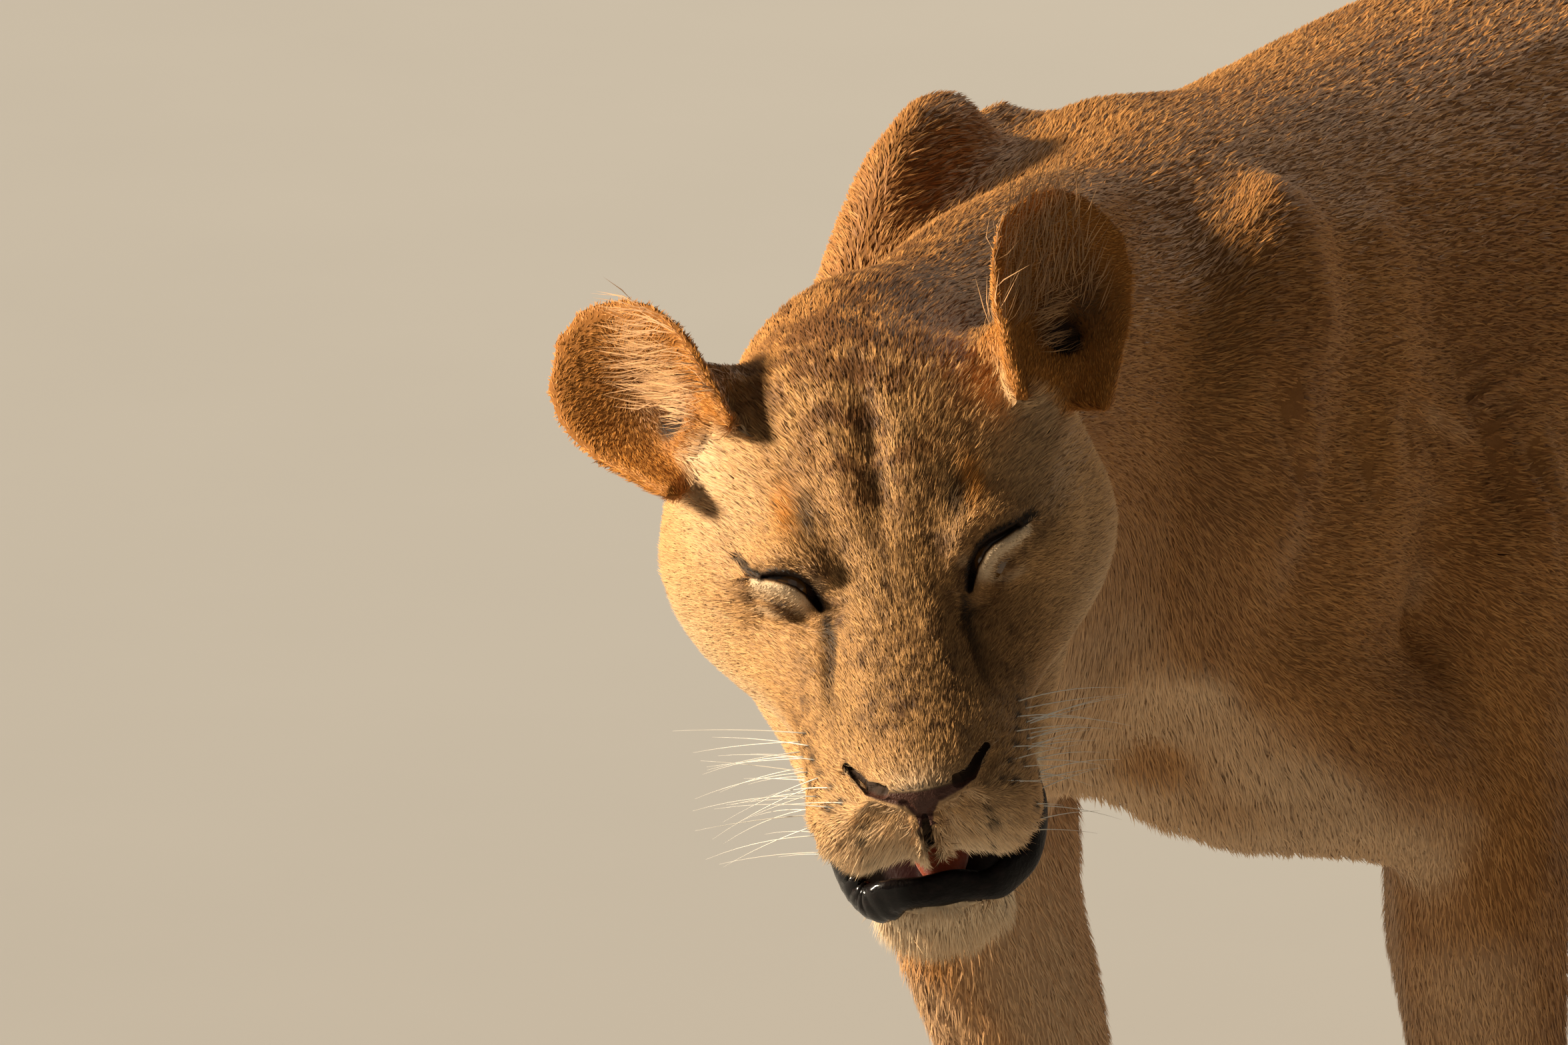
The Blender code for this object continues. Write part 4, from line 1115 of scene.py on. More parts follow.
# Painted shade: the skin between the locks is darkened, less where it is pale.
colour = (skin_finish.attribute("pale") * -0.30 + 0.45).over(colour, SHADE_UNDER_HAIR)
colour = leather.over(colour, NOSE)
colour = mouth.over(colour, MOUTH)
colour = skin_finish.attribute("sole").over(colour, PAD)
skin_finish.set("Base Color", colour)
skin_finish.set("Roughness", 0.78 - leather * 0.26 - mouth * 0.45)
skin_finish.set("Coat Weight", leather * 0.12 + mouth * 0.25)
pebbles = skin_finish.noise(900.0, 2.0)
down = skin_finish.noise(260.0, 3.0, 0.6, stretch=(1.0, 0.35, 0.6))
skin_finish.bump(down * (1 - leather) + pebbles * leather, 0.55, 0.0016)

coat_finish = Finish("coat_finish", Roughness=0.62, Specular_IOR_Level=0.26)
tip = coat_finish.attribute("tip")
shade = coat_finish.attribute("shade")
pale = coat_finish.attribute("pale")
fair = coat_finish.attribute("fair")
colour, dark = coat_colour(coat_finish)
golden = tip.ramp(0.35, 1.0) * 0.14 + shade.ramp(0.50, 1.0) * (fair * 0.10 + 0.20)
colour = (golden * (1 - dark * 0.75) * (1 - pale * 0.75)).over(colour, GOLDEN_TIP)
shaded = (1 - tip).ramp(0.40, 1.0) * 0.28 + (1 - shade).ramp(0.60, 1.0) * (fair * 0.16 + 0.30)
colour = (shaded * (1 - pale * 0.62)).over(colour, SHADED_ROOT)
# Black here also carries the painted shade in ears and nostrils and the painted shadow on the nose pad.
colour = coat_finish.attribute("black").over(colour, BLACK_AND_SHADE)
coat_finish.set("Base Color", colour)

skin_piece = add_piece("skin", skin, skin_finish)
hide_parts(*[name for name in FLESH if name != "tail_tuft"])
print("skin:", len(skin.polygons), "faces")

# %% [markdown]
# ## Eyes
# Little shows of her eyes, but what shows must be an eye: a wet ball with an amber iris and a round pupil,
# as lions have. The iris is painted from the distance to the eye's own axis, which looks where the face does.

# %% Eyeballs
GAZE = Vector((0.02, -0.86, 0.42)).normalized()
CORNEA_RADIUS = 0.0095
CORNEA_RISE = 0.0007
PUPIL_EDGE = (0.0030, 0.0034)
IRIS_EDGE = (0.0088, 0.0096)
AMBER = (0.150, 0.066, 0.012)
AMBER_DEEP = (0.060, 0.026, 0.006)
PUPIL = (0.004, 0.004, 0.004)
EYE_WHITE = (0.030, 0.018, 0.012)


def eyeball(side):
    centre = HEAD @ Vector(EYE_CENTRE * (side, 1, 1))
    bm = bmesh.new()
    bmesh.ops.create_uvsphere(bm, u_segments=64, v_segments=48, radius=EYE_RADIUS)
    gaze = Vector((GAZE.x * side, GAZE.y, GAZE.z))
    aim = (HEAD.to_3x3() @ gaze).to_track_quat("Z", "Y").to_matrix().to_4x4()
    off_axis = [(vert.co.x**2 + vert.co.y**2) ** 0.5 if vert.co.z > 0 else 1.0 for vert in bm.verts]
    # The cornea stands a little proud of the ball.
    for vert, distance in zip(bm.verts, off_axis):
        vert.co.z += CORNEA_RISE * max(0.0, 1 - (distance / CORNEA_RADIUS) ** 2)
    bm.transform(Matrix.Translation(centre) @ aim)
    mesh = mesh_of(bm, "eyeball")
    mesh.shade_smooth()
    add_layer(mesh, "off_axis", off_axis)
    return mesh


eye_finish = Finish("eye_finish", Roughness=0.12, IOR=1.38, Coat_Weight=1.0, Coat_Roughness=0.03)
off_axis = eye_finish.attribute("off_axis")
iris = eye_finish.noise(900.0, 3.0).over(AMBER, AMBER_DEEP)
colour = off_axis.ramp(*PUPIL_EDGE).over(PUPIL, iris)
colour = off_axis.ramp(*IRIS_EDGE).over(colour, EYE_WHITE)
eye_finish.set("Base Color", colour)
for name, side in (("left", 1), ("right", -1)):
    eye = add_piece("eyeball_" + name, eyeball(side), eye_finish)
    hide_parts("eye_" + name)
print("eyes in place")

# %% [markdown]
# ## Lips and tongue
# The lower lip is a black, wet roll of skin along the rim of the jaw, from one corner of the mouth round the
# front to the other. A sweep does it: an oval section carried along a smooth path, thick at the sides, with
# a little unevenness, since no lip is a hose. The tongue lies behind it with a shallow groove.

# %% Sweeping ovals
LIP_STEPS = 8


def spline(stations, steps):
    """Catmull-Rom points through stations."""
    rows = np.array(stations, float)
    ends = np.vstack([2 * rows[0] - rows[1], rows, 2 * rows[-1] - rows[-2]])
    made = []
    for a, b, c, d in zip(ends, ends[1:], ends[2:], ends[3:]):
        for t in np.linspace(0, 1, steps, endpoint=False):
            straight = 2 * b + (c - a) * t
            bent = (2 * a - 5 * b + 4 * c - d) * t**2
            made.append(0.5 * (straight + bent + (3 * b - 3 * c + d - a) * t**3))
    return np.array(made + [rows[-1]])


def tube_faces(rings, sides):
    """The sides and the two ends of a tube, for points that lie ring after ring."""
    faces = []
    for ring in range(rings - 1):
        for k in range(sides):
            a, b = ring * sides + k, ring * sides + (k + 1) % sides
            faces.append((a, b, b + sides, a + sides))
    faces.append(tuple(range(sides))[::-1])
    faces.append(tuple(range((rings - 1) * sides, rings * sides)))
    return faces


def tube_mesh(name, verts, faces):
    """A smooth mesh of tubes described in the head's frame, with every face turned outwards."""
    mesh = mesh_from(name, from_head(verts).tolist(), faces)
    bm = bmesh.new()
    bm.from_mesh(mesh)
    bmesh.ops.recalc_face_normals(bm, faces=bm.faces)
    bm.to_mesh(mesh)
    bm.free()
    mesh.shade_smooth()
    return mesh


def sweep(name, rows, up, sides=16):
    """A closed tube along rows of (x, y, z, half height, half thickness); up is where the height points."""
    centres = rows[:, :3]
    verts = []
    for i, row in enumerate(rows):
        ahead = centres[min(i + 1, len(rows) - 1)] - centres[max(i - 1, 0)]
        ahead /= np.linalg.norm(ahead)
        high = np.array(up) - ahead * (np.array(up) @ ahead)
        high /= np.linalg.norm(high)
        wide = np.cross(ahead, high)
        for k in range(sides):
            turn = 2 * pi * k / sides
            verts.append(row[:3] + high * row[3] * sin(turn) + wide * row[4] * cos(turn))
    return tube_mesh(name, verts, tube_faces(len(rows), sides))


print("faces of a tube of two rings:", len(tube_faces(2, 16)))

# %% Lower lip
LIP_BLACK = (0.003, 0.002, 0.002)
LIP_DARK = (0.010, 0.006, 0.006)

# Along the lip from her right corner to her left: place, half height and half thickness.
LIP_STATIONS = [
    (-0.0525, -0.0330, -0.0960, 0.0050, 0.0040),
    (-0.0520, -0.0540, -0.1040, 0.0080, 0.0050),
    (-0.0480, -0.0740, -0.1130, 0.0100, 0.0056),
    (-0.0420, -0.0900, -0.1180, 0.0112, 0.0066),
    (-0.0340, -0.1000, -0.1175, 0.0118, 0.0078),
    (-0.0240, -0.1065, -0.1090, 0.0112, 0.0062),
    (-0.0100, -0.1095, -0.1040, 0.0112, 0.0052),
    (0.0060, -0.1100, -0.1045, 0.0110, 0.0050),
    (0.0220, -0.1085, -0.1070, 0.0110, 0.0050),
    (0.0345, -0.1030, -0.1100, 0.0120, 0.0054),
    (0.0455, -0.0920, -0.1115, 0.0124, 0.0058),
    (0.0530, -0.0780, -0.1075, 0.0122, 0.0060),
    (0.0565, -0.0640, -0.1025, 0.0106, 0.0056),
    (0.0560, -0.0500, -0.0975, 0.0076, 0.0046),
    (0.0520, -0.0380, -0.0930, 0.0040, 0.0034),
]
lip_rows = spline(LIP_STATIONS, LIP_STEPS)
step = np.arange(len(lip_rows))
ripple = np.sin(step * 1.9 + 1) * 0.00045 * (1 - ramp(lip_rows[:, 0], -0.036, -0.020))
wave = np.sin(step * 0.37) * 0.0010 + ripple
lip_rows[:, 3] += wave
lip_rows[:, 2] += 0.6 * wave
lip_rows[:, 1] += 0.8 * np.roll(wave, 5)
lip_finish = Finish("lip_finish", Roughness=0.42, Coat_Roughness=0.10, Specular_IOR_Level=0.06)
lip_finish.set("Coat Weight", lip_finish.attribute("wet") * 0.55 + 0.02)
lip_finish.set("Base Color", lip_finish.noise(160.0, 3.0).ramp(0.45, 0.75).over(LIP_BLACK, LIP_DARK))
lip_finish.bump(lip_finish.noise(220.0, 4.0, 0.6), 0.5, 0.0018)
lip = add_piece("lower_lip", sweep("lower_lip", lip_rows, (0, 0, 1)), lip_finish)
# Her right corner is wet and catches the light.
add_layer(lip.data, "wet", ramp(-to_head(points_of(lip.data))[:, 0], 0.012, 0.028))
print("lip:", len(lip.data.polygons), "faces")

# %% Tongue
TONGUE_PLACE = (0.0040, -0.073, -0.1000)
TONGUE_HALVES = (0.0165, 0.036, 0.0095)
TONGUE_GROOVE = 0.0022
TONGUE_RED = (0.34, 0.050, 0.016)
TONGUE_PINK = (0.50, 0.100, 0.036)


def tongue_mesh():
    """A flattened ball, grooved along its top and lower at the tip."""
    half_width, half_length, half_height = TONGUE_HALVES
    bm = bmesh.new()
    bmesh.ops.create_uvsphere(bm, u_segments=48, v_segments=32, radius=1)
    for vert in bm.verts:
        x, y, z = vert.co
        groove = TONGUE_GROOVE * max(0.0, z) * np.exp(-((x / 0.22) ** 2))
        vert.co = Vector((x * half_width, y * half_length, z * half_height - groove + 0.004 * y))
    bm.transform(HEAD @ Matrix.Translation(TONGUE_PLACE))
    mesh = mesh_of(bm, "tongue")
    mesh.shade_smooth()
    return mesh


tongue_finish = Finish("tongue_finish", Roughness=0.42, Coat_Weight=0.5, Coat_Roughness=0.2)
papillae = tongue_finish.noise(1100.0, 2.0)
tongue_finish.set("Base Color", papillae.over(TONGUE_RED, TONGUE_PINK))
tongue_finish.bump(papillae, 0.6, 0.0008)
tongue_piece = add_piece("tongue_flesh", tongue_mesh(), tongue_finish)
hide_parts("tongue")
print("tongue in place")

# %% [markdown]
# ## The lie of the coat
# Hair never stands at random. From the nose it runs forward and down over the pads and back over the brow;
# from the head it streams down the neck, along the flanks and down the legs to the toes. This function gives
# the direction at any place; the hair then leans along the skin in that direction.

# %% Direction of the hair
DOWN_FLANK = (0.0, 1.0, -0.30)
DOWN_LEG = (0.0, 0.30, -1.0)
DOWN_BREAST = (0.0, 0.15, -1.0)
OVER_TOES = (0.0, -0.8, -0.6)
DOWN_TAIL = (0.0, 0.25, -1.0)
ALONG_TAIL_END = (-0.1, 1.0, 0.05)
TAIL_TURN = 0.30
TAIL_TOP = 0.75
BEHIND_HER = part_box("hindleg_right")[1][1]


def unit(vectors):
    return vectors / np.maximum(np.linalg.norm(vectors, axis=-1, keepdims=True), 1e-9)


def turned(lie, share, towards):
    """The direction of the hair, turned towards another by a share of 0 to 1 for each point."""
    return lie * (1 - share[:, None]) + share[:, None] * np.asarray(towards)


def on_tail_hair(points):
    return (points[:, 1] > BEHIND_HER) & (points[:, 2] < TAIL_TOP)


EAR_LINES = {}
for side, hole in EAR_HOLES.items():
    h = to_head(plain)
    mine = h[(in_ears(plain) > 0.5) & (h[:, 0] * side > 0.02)]
    tip = mine[np.linalg.norm(mine - hole, axis=1).argmax()]
    EAR_LINES[side] = unit(tip - np.array(hole))
    print("ear tip:", tip.round(3))


def lie_on_body(points):
    """Back along the flanks, down the breast and the legs, over the toes, and down the tail."""
    lie = np.tile(np.array(DOWN_FLANK), (len(points), 1))
    lie = turned(lie, 1 - ramp(points[:, 2], 0.45, 0.70), DOWN_LEG)
    breast = ramp(-points[:, 1], 0.38, 0.60) * (1 - ramp(points[:, 2], 0.68, 0.84))
    lie = turned(lie, breast, DOWN_BREAST)
    lie = turned(lie, 1 - ramp(points[:, 2], 0.05, 0.12), OVER_TOES)
    on_tail = np.where(points[:, 2:3] > TAIL_TURN, np.array(DOWN_TAIL), np.array(ALONG_TAIL_END))
    return unit(np.where(on_tail_hair(points)[:, None], on_tail, lie))


def lie_on_head(points):
    """In the head's frame: back over the brow, out over the pads, down the chin, away from each eye."""
    h = to_head(points)
    ones = np.ones(len(h))
    outward = np.sign(h[:, 0]) * np.clip(np.abs(h[:, 0]) / 0.05, 0, 1)
    aside = np.sign(h[:, 0]) * np.clip(np.abs(h[:, 0]) / 0.008, 0, 1)
    lie = np.c_[0.55 * outward, ones, 0.35 - 0.9 * np.clip(np.abs(h[:, 0]) / 0.10, 0, 1)]
    on_pads = (1 - ramp(h[:, 1], -0.07, -0.04)) * ramp(-(h @ BROW_AXIS), 0.100, 0.110)
    lie = turned(lie, on_pads, np.c_[0.9 * aside, 0.35 * ones, -0.8 * ones])
    for side, line in EAR_LINES.items():
        lie = turned(unit(lie), in_ears(points) * (h[:, 0] * side > 0.02), line)
    lie = turned(lie, ramp(-h[:, 2], 0.105, 0.120), np.c_[0.3 * outward, 0.1 * ones, -ones])
    for side in (1, -1):
        eye = parting(h, side)
        away = np.where(eye.above[:, None], 1.0, -1.0) * BROW_AXIS * 0.7 + np.array((side * 0.9, 0.25, 0.0))
        lie = turned(unit(lie), bump_at(eye.rim, 0, 0.013) * (eye.out > -0.005), unit(away))
    return unit(lie) @ HEAD_AXES.T


def lie_of_coat(points, normal):
    """The direction of the hair, along the skin."""
    lie = turned(lie_on_body(points), in_head(points, 0.13, 0.20), lie_on_head(points))
    return unit(lie - normal * (lie * normal).sum(axis=1, keepdims=True))


# %% [markdown]
# ## Locks of hair
# Each lock is a slim kite of two triangles: rooted in the skin, widest at a third, pointed at the tip. A coat
# of them would look like scales if all were alike, so length, width, lean and direction vary, and each has a
# shade of its own. The kites carry the skin's own normals, tipped a little, so that the light rolls over
# the body as it does on fur. Roots are dealt out over the skin by area, more of them where hair is finest.

# %% Dealing out the roots
skin.calc_loop_triangles()
corners = np.empty(len(skin.loop_triangles) * 3, np.int32)
skin.loop_triangles.foreach_get("vertices", corners)
corners = corners.reshape(-1, 3)
centre = plain[corners].mean(axis=1)
first, second, third = (points[corners[:, k]] for k in range(3))
area = np.linalg.norm(np.cross(second - first, third - first), axis=1) / 2
print("skin area:", round(float(area.sum()), 3), "square metres")


# %% Where hair grows, and how thickly
LOCKS_ON_BODY = 165000
LOCKS_ON_FOREQUARTERS = 105000
LOCKS_ON_HEAD = 310000
LOCKS_ON_FACE = 600000
LOCKS_ON_FEET = 120000
LOCKS_IN_EARS = 250000
LIP_LINE = [row[:3] for row in LIP_STATIONS]


def in_forequarters(points):
    return (1 - ramp(points[:, 1], -0.30, -0.05)) * ramp(points[:, 2], 0.45, 0.60)


def bare(points, masks):
    """1 where no hair grows."""
    h = to_head(points)
    gone = [masks["leather"], masks["mouth"], masks["sole"], leather_of(h, 0.0004) > 0.5]
    for side in (1, -1):
        eye = parting(h, side)
        gone.append((1 - ramp(eye.rim, 0.0003, 0.0010)) * (eye.out > 0))
    for hole in EAR_HOLES.values():
        gone.append(about(h, hole, (0.0088, 0.0112, 0.0132)) > 0.50)
    for path in paired(NOSTRIL_PATH):
        gap, place = along(h, path)
        gone.append(gap < 0.0021 - 0.0013 * place)
    for path in paired(LIP_RIM_PATH):
        gone.append(along(h, path)[0] < 0.0045)
    gone.append(in_philtrum(h, 0.0012 + wedge_of(h), 0.0003) > 0.5)
    gone.append((along(h, LIP_LINE)[0] < 0.0070) & (h[:, 2] < -0.080))
    return np.maximum.reduce([mask.astype(float) for mask in gone])


def density(points, masks):
    """Locks to the square metre."""
    head = in_head(points, 0.15, 0.24)
    face = head * (1 - ramp(to_head(points)[:, 1], 0.04, 0.13))
    locks = LOCKS_ON_BODY + LOCKS_ON_FOREQUARTERS * in_forequarters(points)
    locks = locks + LOCKS_ON_HEAD * head + LOCKS_ON_FACE * face
    locks = locks + LOCKS_ON_FEET * (1 - ramp(points[:, 2], 0.10, 0.20))
    return (locks + LOCKS_IN_EARS * in_ears(points)) * (1 - bare(points, masks))


face_masks = {name: mask[corners].mean(axis=1) for name, mask in skin_masks.items()}
expected = area * density(centre, face_masks)
print("locks expected:", int(expected.sum()))

# %% [markdown]
# ## Short hair and long
# Length makes the outline: a few millimetres on the face, one centimetre on the body, and fluff on throat,
# chin, ruff and tail. The number of locks goes the other way, since short hair has to hide the skin as well.

# %% How long the hair is
BODY_HAIR = 0.0108
HEAD_HAIR = 0.0086
FACE_HAIR = 0.0054
CUT_ROUND = ((NOSTRIL_PATH, 0.68), (SEAM_UNDER_NOSE, 0.60), (PHILTRUM_PATH, 0.35))


def coat_length(points, normal):
    """Metres of hair at each point."""
    h = to_head(points)
    head = in_head(points, 0.13, 0.21)
    face = in_head(points) * (1 - ramp(h[:, 1], 0.00, 0.12))
    length = BODY_HAIR * (1 - head) - 0.0018 * in_forequarters(points) * (1 - head) + HEAD_HAIR * head
    length = length * (1 - face) + FACE_HAIR * face
    # Shorter round the eyes, the nostrils and the split of the lip.
    for side in (1, -1):
        eye = parting(h, side)
        length = length * (1 - (0.74 - 0.20 * eye.above) * bump_at(eye.rim, 0, 0.009) * (eye.out > -0.005))
    for left_path, cut in CUT_ROUND:
        gap = np.minimum(*(along(h, path)[0] for path in paired(left_path)))
        length = length * (1 - cut * bump_at(gap, 0, 0.0075))
    length = length * (1 - 0.72 * about(h, (0.0, -0.122, -0.076), (0.010, 0.030, 0.013)))
    # Longer on the brows, the throat and round the ears.
    length = length + 0.007 * both_sides(h, (0.0425, 0.041, 0.031), (0.010, 0.014, 0.020))
    length = length + 0.010 * on_throat(points, normal)
    beside_ear = both_sides(h, (0.108, 0.108, 0.018), (0.016, 0.016, 0.020))
    round_ear = 0.009 * both_sides(h, *EAR_BASE) + 0.011 * beside_ear
    length = length + round_ear * (1 - in_ears(points))
    # Short on the feet and in the ears, long on chin, ruff and tail tuft.
    length = length * (1 - 0.50 * (1 - ramp(points[:, 2], 0.08, 0.20)))
    length = length * (1 - 0.60 * in_ears(points))
    length = length + 0.013 * ramp(-h[:, 2], 0.110, 0.130) * in_head(points) * (h[:, 1] < 0.02)
    ruff = both_sides(h, (0.105, 0.080, -0.080), (0.035, 0.050, 0.045))
    length = length + 0.009 * ruff * in_head(points)
    return length + 0.020 * ramp(points[:, 1], TUFT_START, TUFT_START + 0.02)


print("hair over the skin:", np.percentile(coat_length(plain, normal), (5, 50, 95)).round(4))

# %% Picking the roots
chances = np.cumsum(expected)
lock_count = int(chances[-1])
picked = np.searchsorted(chances, RNG.random(lock_count) * chances[-1])
u, v = RNG.random((2, lock_count))
outside = u + v > 1
u = np.where(outside, 1 - u, u)
v = np.where(outside, 1 - v, v)
share = np.c_[1 - u - v, u, v]


def at_roots(values):
    """Values of the skin's points, taken to each root within its triangle."""
    return (values[corners[picked]] * share[:, :, None]).sum(axis=1)


root = at_roots(points)
root_normal = unit(at_roots(normal))
root_plain = at_roots(plain)
print("locks:", lock_count)

# %% [markdown]
# ## A map for the bake
# A baked picture of the coat's colours needs a place for every lock. The map is six flat views of each region
# of the body, side by side in a grid, and each lock is a tiny patch at its root's place. Neighbouring locks
# share nearly the same place, so even a small picture gives each the colour of its own spot of the body.

# %% The map
ATLAS_COLUMNS = 7
ATLAS_MARGIN = 0.03
VIEWS = 6


def atlas(points, normal):
    """Each place on the map, in six views of each of seven regions."""
    in_front = points[:, 1] < 0.1
    left = points[:, 0] > -0.02
    rules = [in_head(points) > 0.5, points[:, 1] > 0.63, points[:, 2] > 0.50, in_front & left, in_front, left]
    region = np.select(rules, range(len(rules)), len(rules))
    axis = np.abs(normal).argmax(axis=1)
    cell = region * VIEWS + axis * 2 + (normal[np.arange(len(normal)), axis] > 0)
    uv = np.zeros((len(points), 2))
    for number in np.unique(cell):
        mine = cell == number
        across = np.delete(points[mine], number % VIEWS // 2, axis=1)
        low, high = across.min(axis=0), across.max(axis=0)
        flat = (across - low) / np.maximum(high - low, 1e-6)
        corner = np.array((number % ATLAS_COLUMNS, number // ATLAS_COLUMNS))
        uv[mine] = (corner + ATLAS_MARGIN + (1 - 2 * ATLAS_MARGIN) * flat) / ATLAS_COLUMNS
    return uv


print("cells of the map:", ATLAS_COLUMNS * VIEWS)

# %% Growing the locks
PATCH = 0.003
KITE = np.array([(0.0, 0.0), (-0.5, 0.36), (0.5, 0.36), (0.0, 1.0)])
ROOT_SUNK = 0.0006
LOWEST_HAIR = 0.0006
GATHER = 0.42
CELL_CODE = (1, 4001, 16008001)
HAIR_MASKS = ("pale", "smoke", "rust", "black", "fair", "crown", "shade")


def gathered(tips, places, length, clump):
    """Neighbours lean together, so that the tips gather into tufts; clump is the width of a tuft."""
    cell = np.floor(places / clump).astype(np.int64) @ CELL_CODE
    _, tuft, members = np.unique(cell, return_inverse=True, return_counts=True)
    middles = np.stack([np.bincount(tuft, tips[:, axis]) for axis in range(3)], axis=1) / members[:, None]
    share = GATHER * ramp(length, 0.003, 0.012)
    return tips + share[:, None] * (middles[tuft] - tips)


def kites(name, verts):
    """A mesh of one kite, two triangles, for each four points; and its triangles."""
    count = len(verts)
    base = np.arange(count)[:, None] * 4
    triangles = np.concatenate([base + (0, 2, 1), base + (1, 2, 3)], axis=1).reshape(-1, 3)
    mesh = bpy.data.meshes.new(name)
    mesh.vertices.add(count * 4)
    mesh.vertices.foreach_set("co", verts.astype(np.float32).ravel())
    mesh.loops.add(len(triangles) * 3)
    mesh.loops.foreach_set("vertex_index", triangles.astype(np.int32).ravel())
    mesh.polygons.add(len(triangles))
    mesh.polygons.foreach_set("loop_start", np.arange(len(triangles), dtype=np.int32) * 3)
    mesh.update(calc_edges=True)
    return mesh, triangles


def grow(name, chosen, length, width, lean, slot, wander=0.22, clump=0.006, lie=None, droop=0.0, paint=None):
    """One mesh of kite-shaped locks, at the chosen ones of all the roots."""
    count = len(chosen)
    base_point, normal, on_plain = root[chosen], root_normal[chosen], root_plain[chosen]
    lie = lie_of_coat(on_plain, normal) if lie is None else lie
    swing = RNG.normal(0, wander, count)[:, None]
    lie = unit(lie + swing * np.cross(lie, normal))
    sideways = unit(np.cross(lie, normal))
    length = length * RNG.uniform(0.70, 1.25, count)
    width = width * RNG.uniform(0.70, 1.35, count)
    lean = lean * RNG.uniform(0.6, 1.4, count)
    verts = np.empty((count, 4, 3))
    for k, (across, reach) in enumerate(KITE):
        ahead = length * np.cos(lean) * reach
        rise = length * (np.sin(lean) * reach - droop * reach**2) - ROOT_SUNK * (k == 0)
        verts[:, k] = base_point + sideways * (across * width)[:, None] + lie * ahead[:, None]
        verts[:, k] += normal * rise[:, None]
    verts[:, 3] = gathered(verts[:, 3], on_plain, length, clump)
    verts[:, :, 2] = np.maximum(verts[:, :, 2], LOWEST_HAIR)
    mesh, triangles = kites(name, verts)

    masks = markings(on_plain, normal)
    masks["shade"] = RNG.random(count)
    for key, value in (paint or {}).items():
        masks[key] = np.full(count, value)
    for key in HAIR_MASKS:
        add_layer(mesh, key, np.repeat(masks[key], 4))
    add_layer(mesh, "tip", np.tile(KITE[:, 1], count))

    patch = np.column_stack([KITE[:, 0], KITE[:, 1] - 0.5]) * PATCH
    places = (atlas(base_point, normal)[:, None, :] + patch[None]).reshape(-1, 2)
    uv_map = mesh.uv_layers.new(name="OFBake")
    uv_map.uv.foreach_set("vector", places[triangles.ravel()].astype(np.float32).ravel())

    tilted = unit(normal + 0.30 * RNG.normal(0, 1, (count, 3)) + 0.25 * lie)
    mesh.shade_smooth()
    mesh.normals_split_custom_set_from_vertices(np.repeat(tilted, 4, axis=0).astype(np.float32))
    return add_piece(name, mesh, coat_finish)


print("points of a lock:", KITE.tolist())

# %% [markdown]
# ## The coat, region by region
# One mesh of all the hair would be too heavy to handle, so head, neck, flanks, haunches, legs and tail are
# dealt with one by one, each in as few pieces as a limit on the number of locks allows.

# %% The coat
MOST_LOCKS = 96000


def group_of(points):
    """The piece of coat that each root belongs to."""
    return np.select(
        [
            in_head(points) > 0.5, on_tail_hair(points), points[:, 2] < 0.50,
            points[:, 1] < -0.42, points[:, 1] < 0.10,
        ],
        ["head", "tail", "legs", "neck", "flanks"],
        "haunches",
    )


groups = group_of(root_plain)
length = coat_length(root_plain, root_normal)
on_face = in_head(root_plain) * (1 - ramp(to_head(root_plain)[:, 1], 0.03, 0.12))
behind = ramp(root[:, 1], -0.30, -0.05)
width = 0.00092 + 0.00040 * behind - 0.00044 * on_face - 0.00030 * in_ears(root_plain)
lean = 0.19 + 0.02 * in_head(root_plain)
total = 0
for group in np.unique(groups):
    members = np.flatnonzero(groups == group)
    slot = "black_hair" if group == "tail" else "tawny_coat"
    chunks = np.array_split(members, ceil(len(members) / MOST_LOCKS))
    for number, chunk in enumerate(chunks, start=1):
        name = f"coat_{group}_{number}"
        piece = grow(name, chunk, length[chunk], width[chunk], lean[chunk], slot)
        total += len(piece.data.polygons)
        print(name, len(piece.data.polygons), "triangles")
        if group == "tail":
            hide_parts("tail_tuft")
print("coat:", total, "triangles")

# %% [markdown]
# ## The long hairs of the ears
# A lion's ear is closed by its own curtain: long pale hairs spring from the inner edge of the cup and sweep
# across it towards the tip, and a small fringe hangs over the ear hole.

# %% Ear fringes
FRINGE_WIDTH = 0.00050
FRINGE_LEAN = 0.34
FRINGE_DROOP = 0.32
FRINGE_CLUMP = 0.014
FRINGE_PAINT = {"pale": 0.40, "rust": 0.30, "black": 0.0, "smoke": 0.0, "crown": 0.0}

# For her left ear (1) and her right (-1): how far out the roots go, how many hairs, and where they sweep.
EAR_FRINGES = {1: (0.018, 480, (0.30, 0.600, 0.560)), -1: (0.010, 340, (-1.0, 0.10, 0.20))}


def fringe(name, side, chosen, most, sweep_to, length, wander):
    """Long pale hairs on the roots chosen in one ear, all swept one way in the head's frame."""
    picked = np.flatnonzero(chosen)
    picked = RNG.choice(picked, min(len(picked), most), replace=False)
    count = len(picked)
    lie = np.tile(unit(np.array(sweep_to)) @ HEAD_AXES.T, (count, 1))
    sizes = [np.full(count, size) for size in (length, FRINGE_WIDTH, FRINGE_LEAN)]
    full_name = f"{name}_{'left' if side > 0 else 'right'}"
    grow(full_name, picked, *sizes, "pale_coat", wander, FRINGE_CLUMP, lie, FRINGE_DROOP, FRINGE_PAINT)
    print(full_name, count, "hairs")


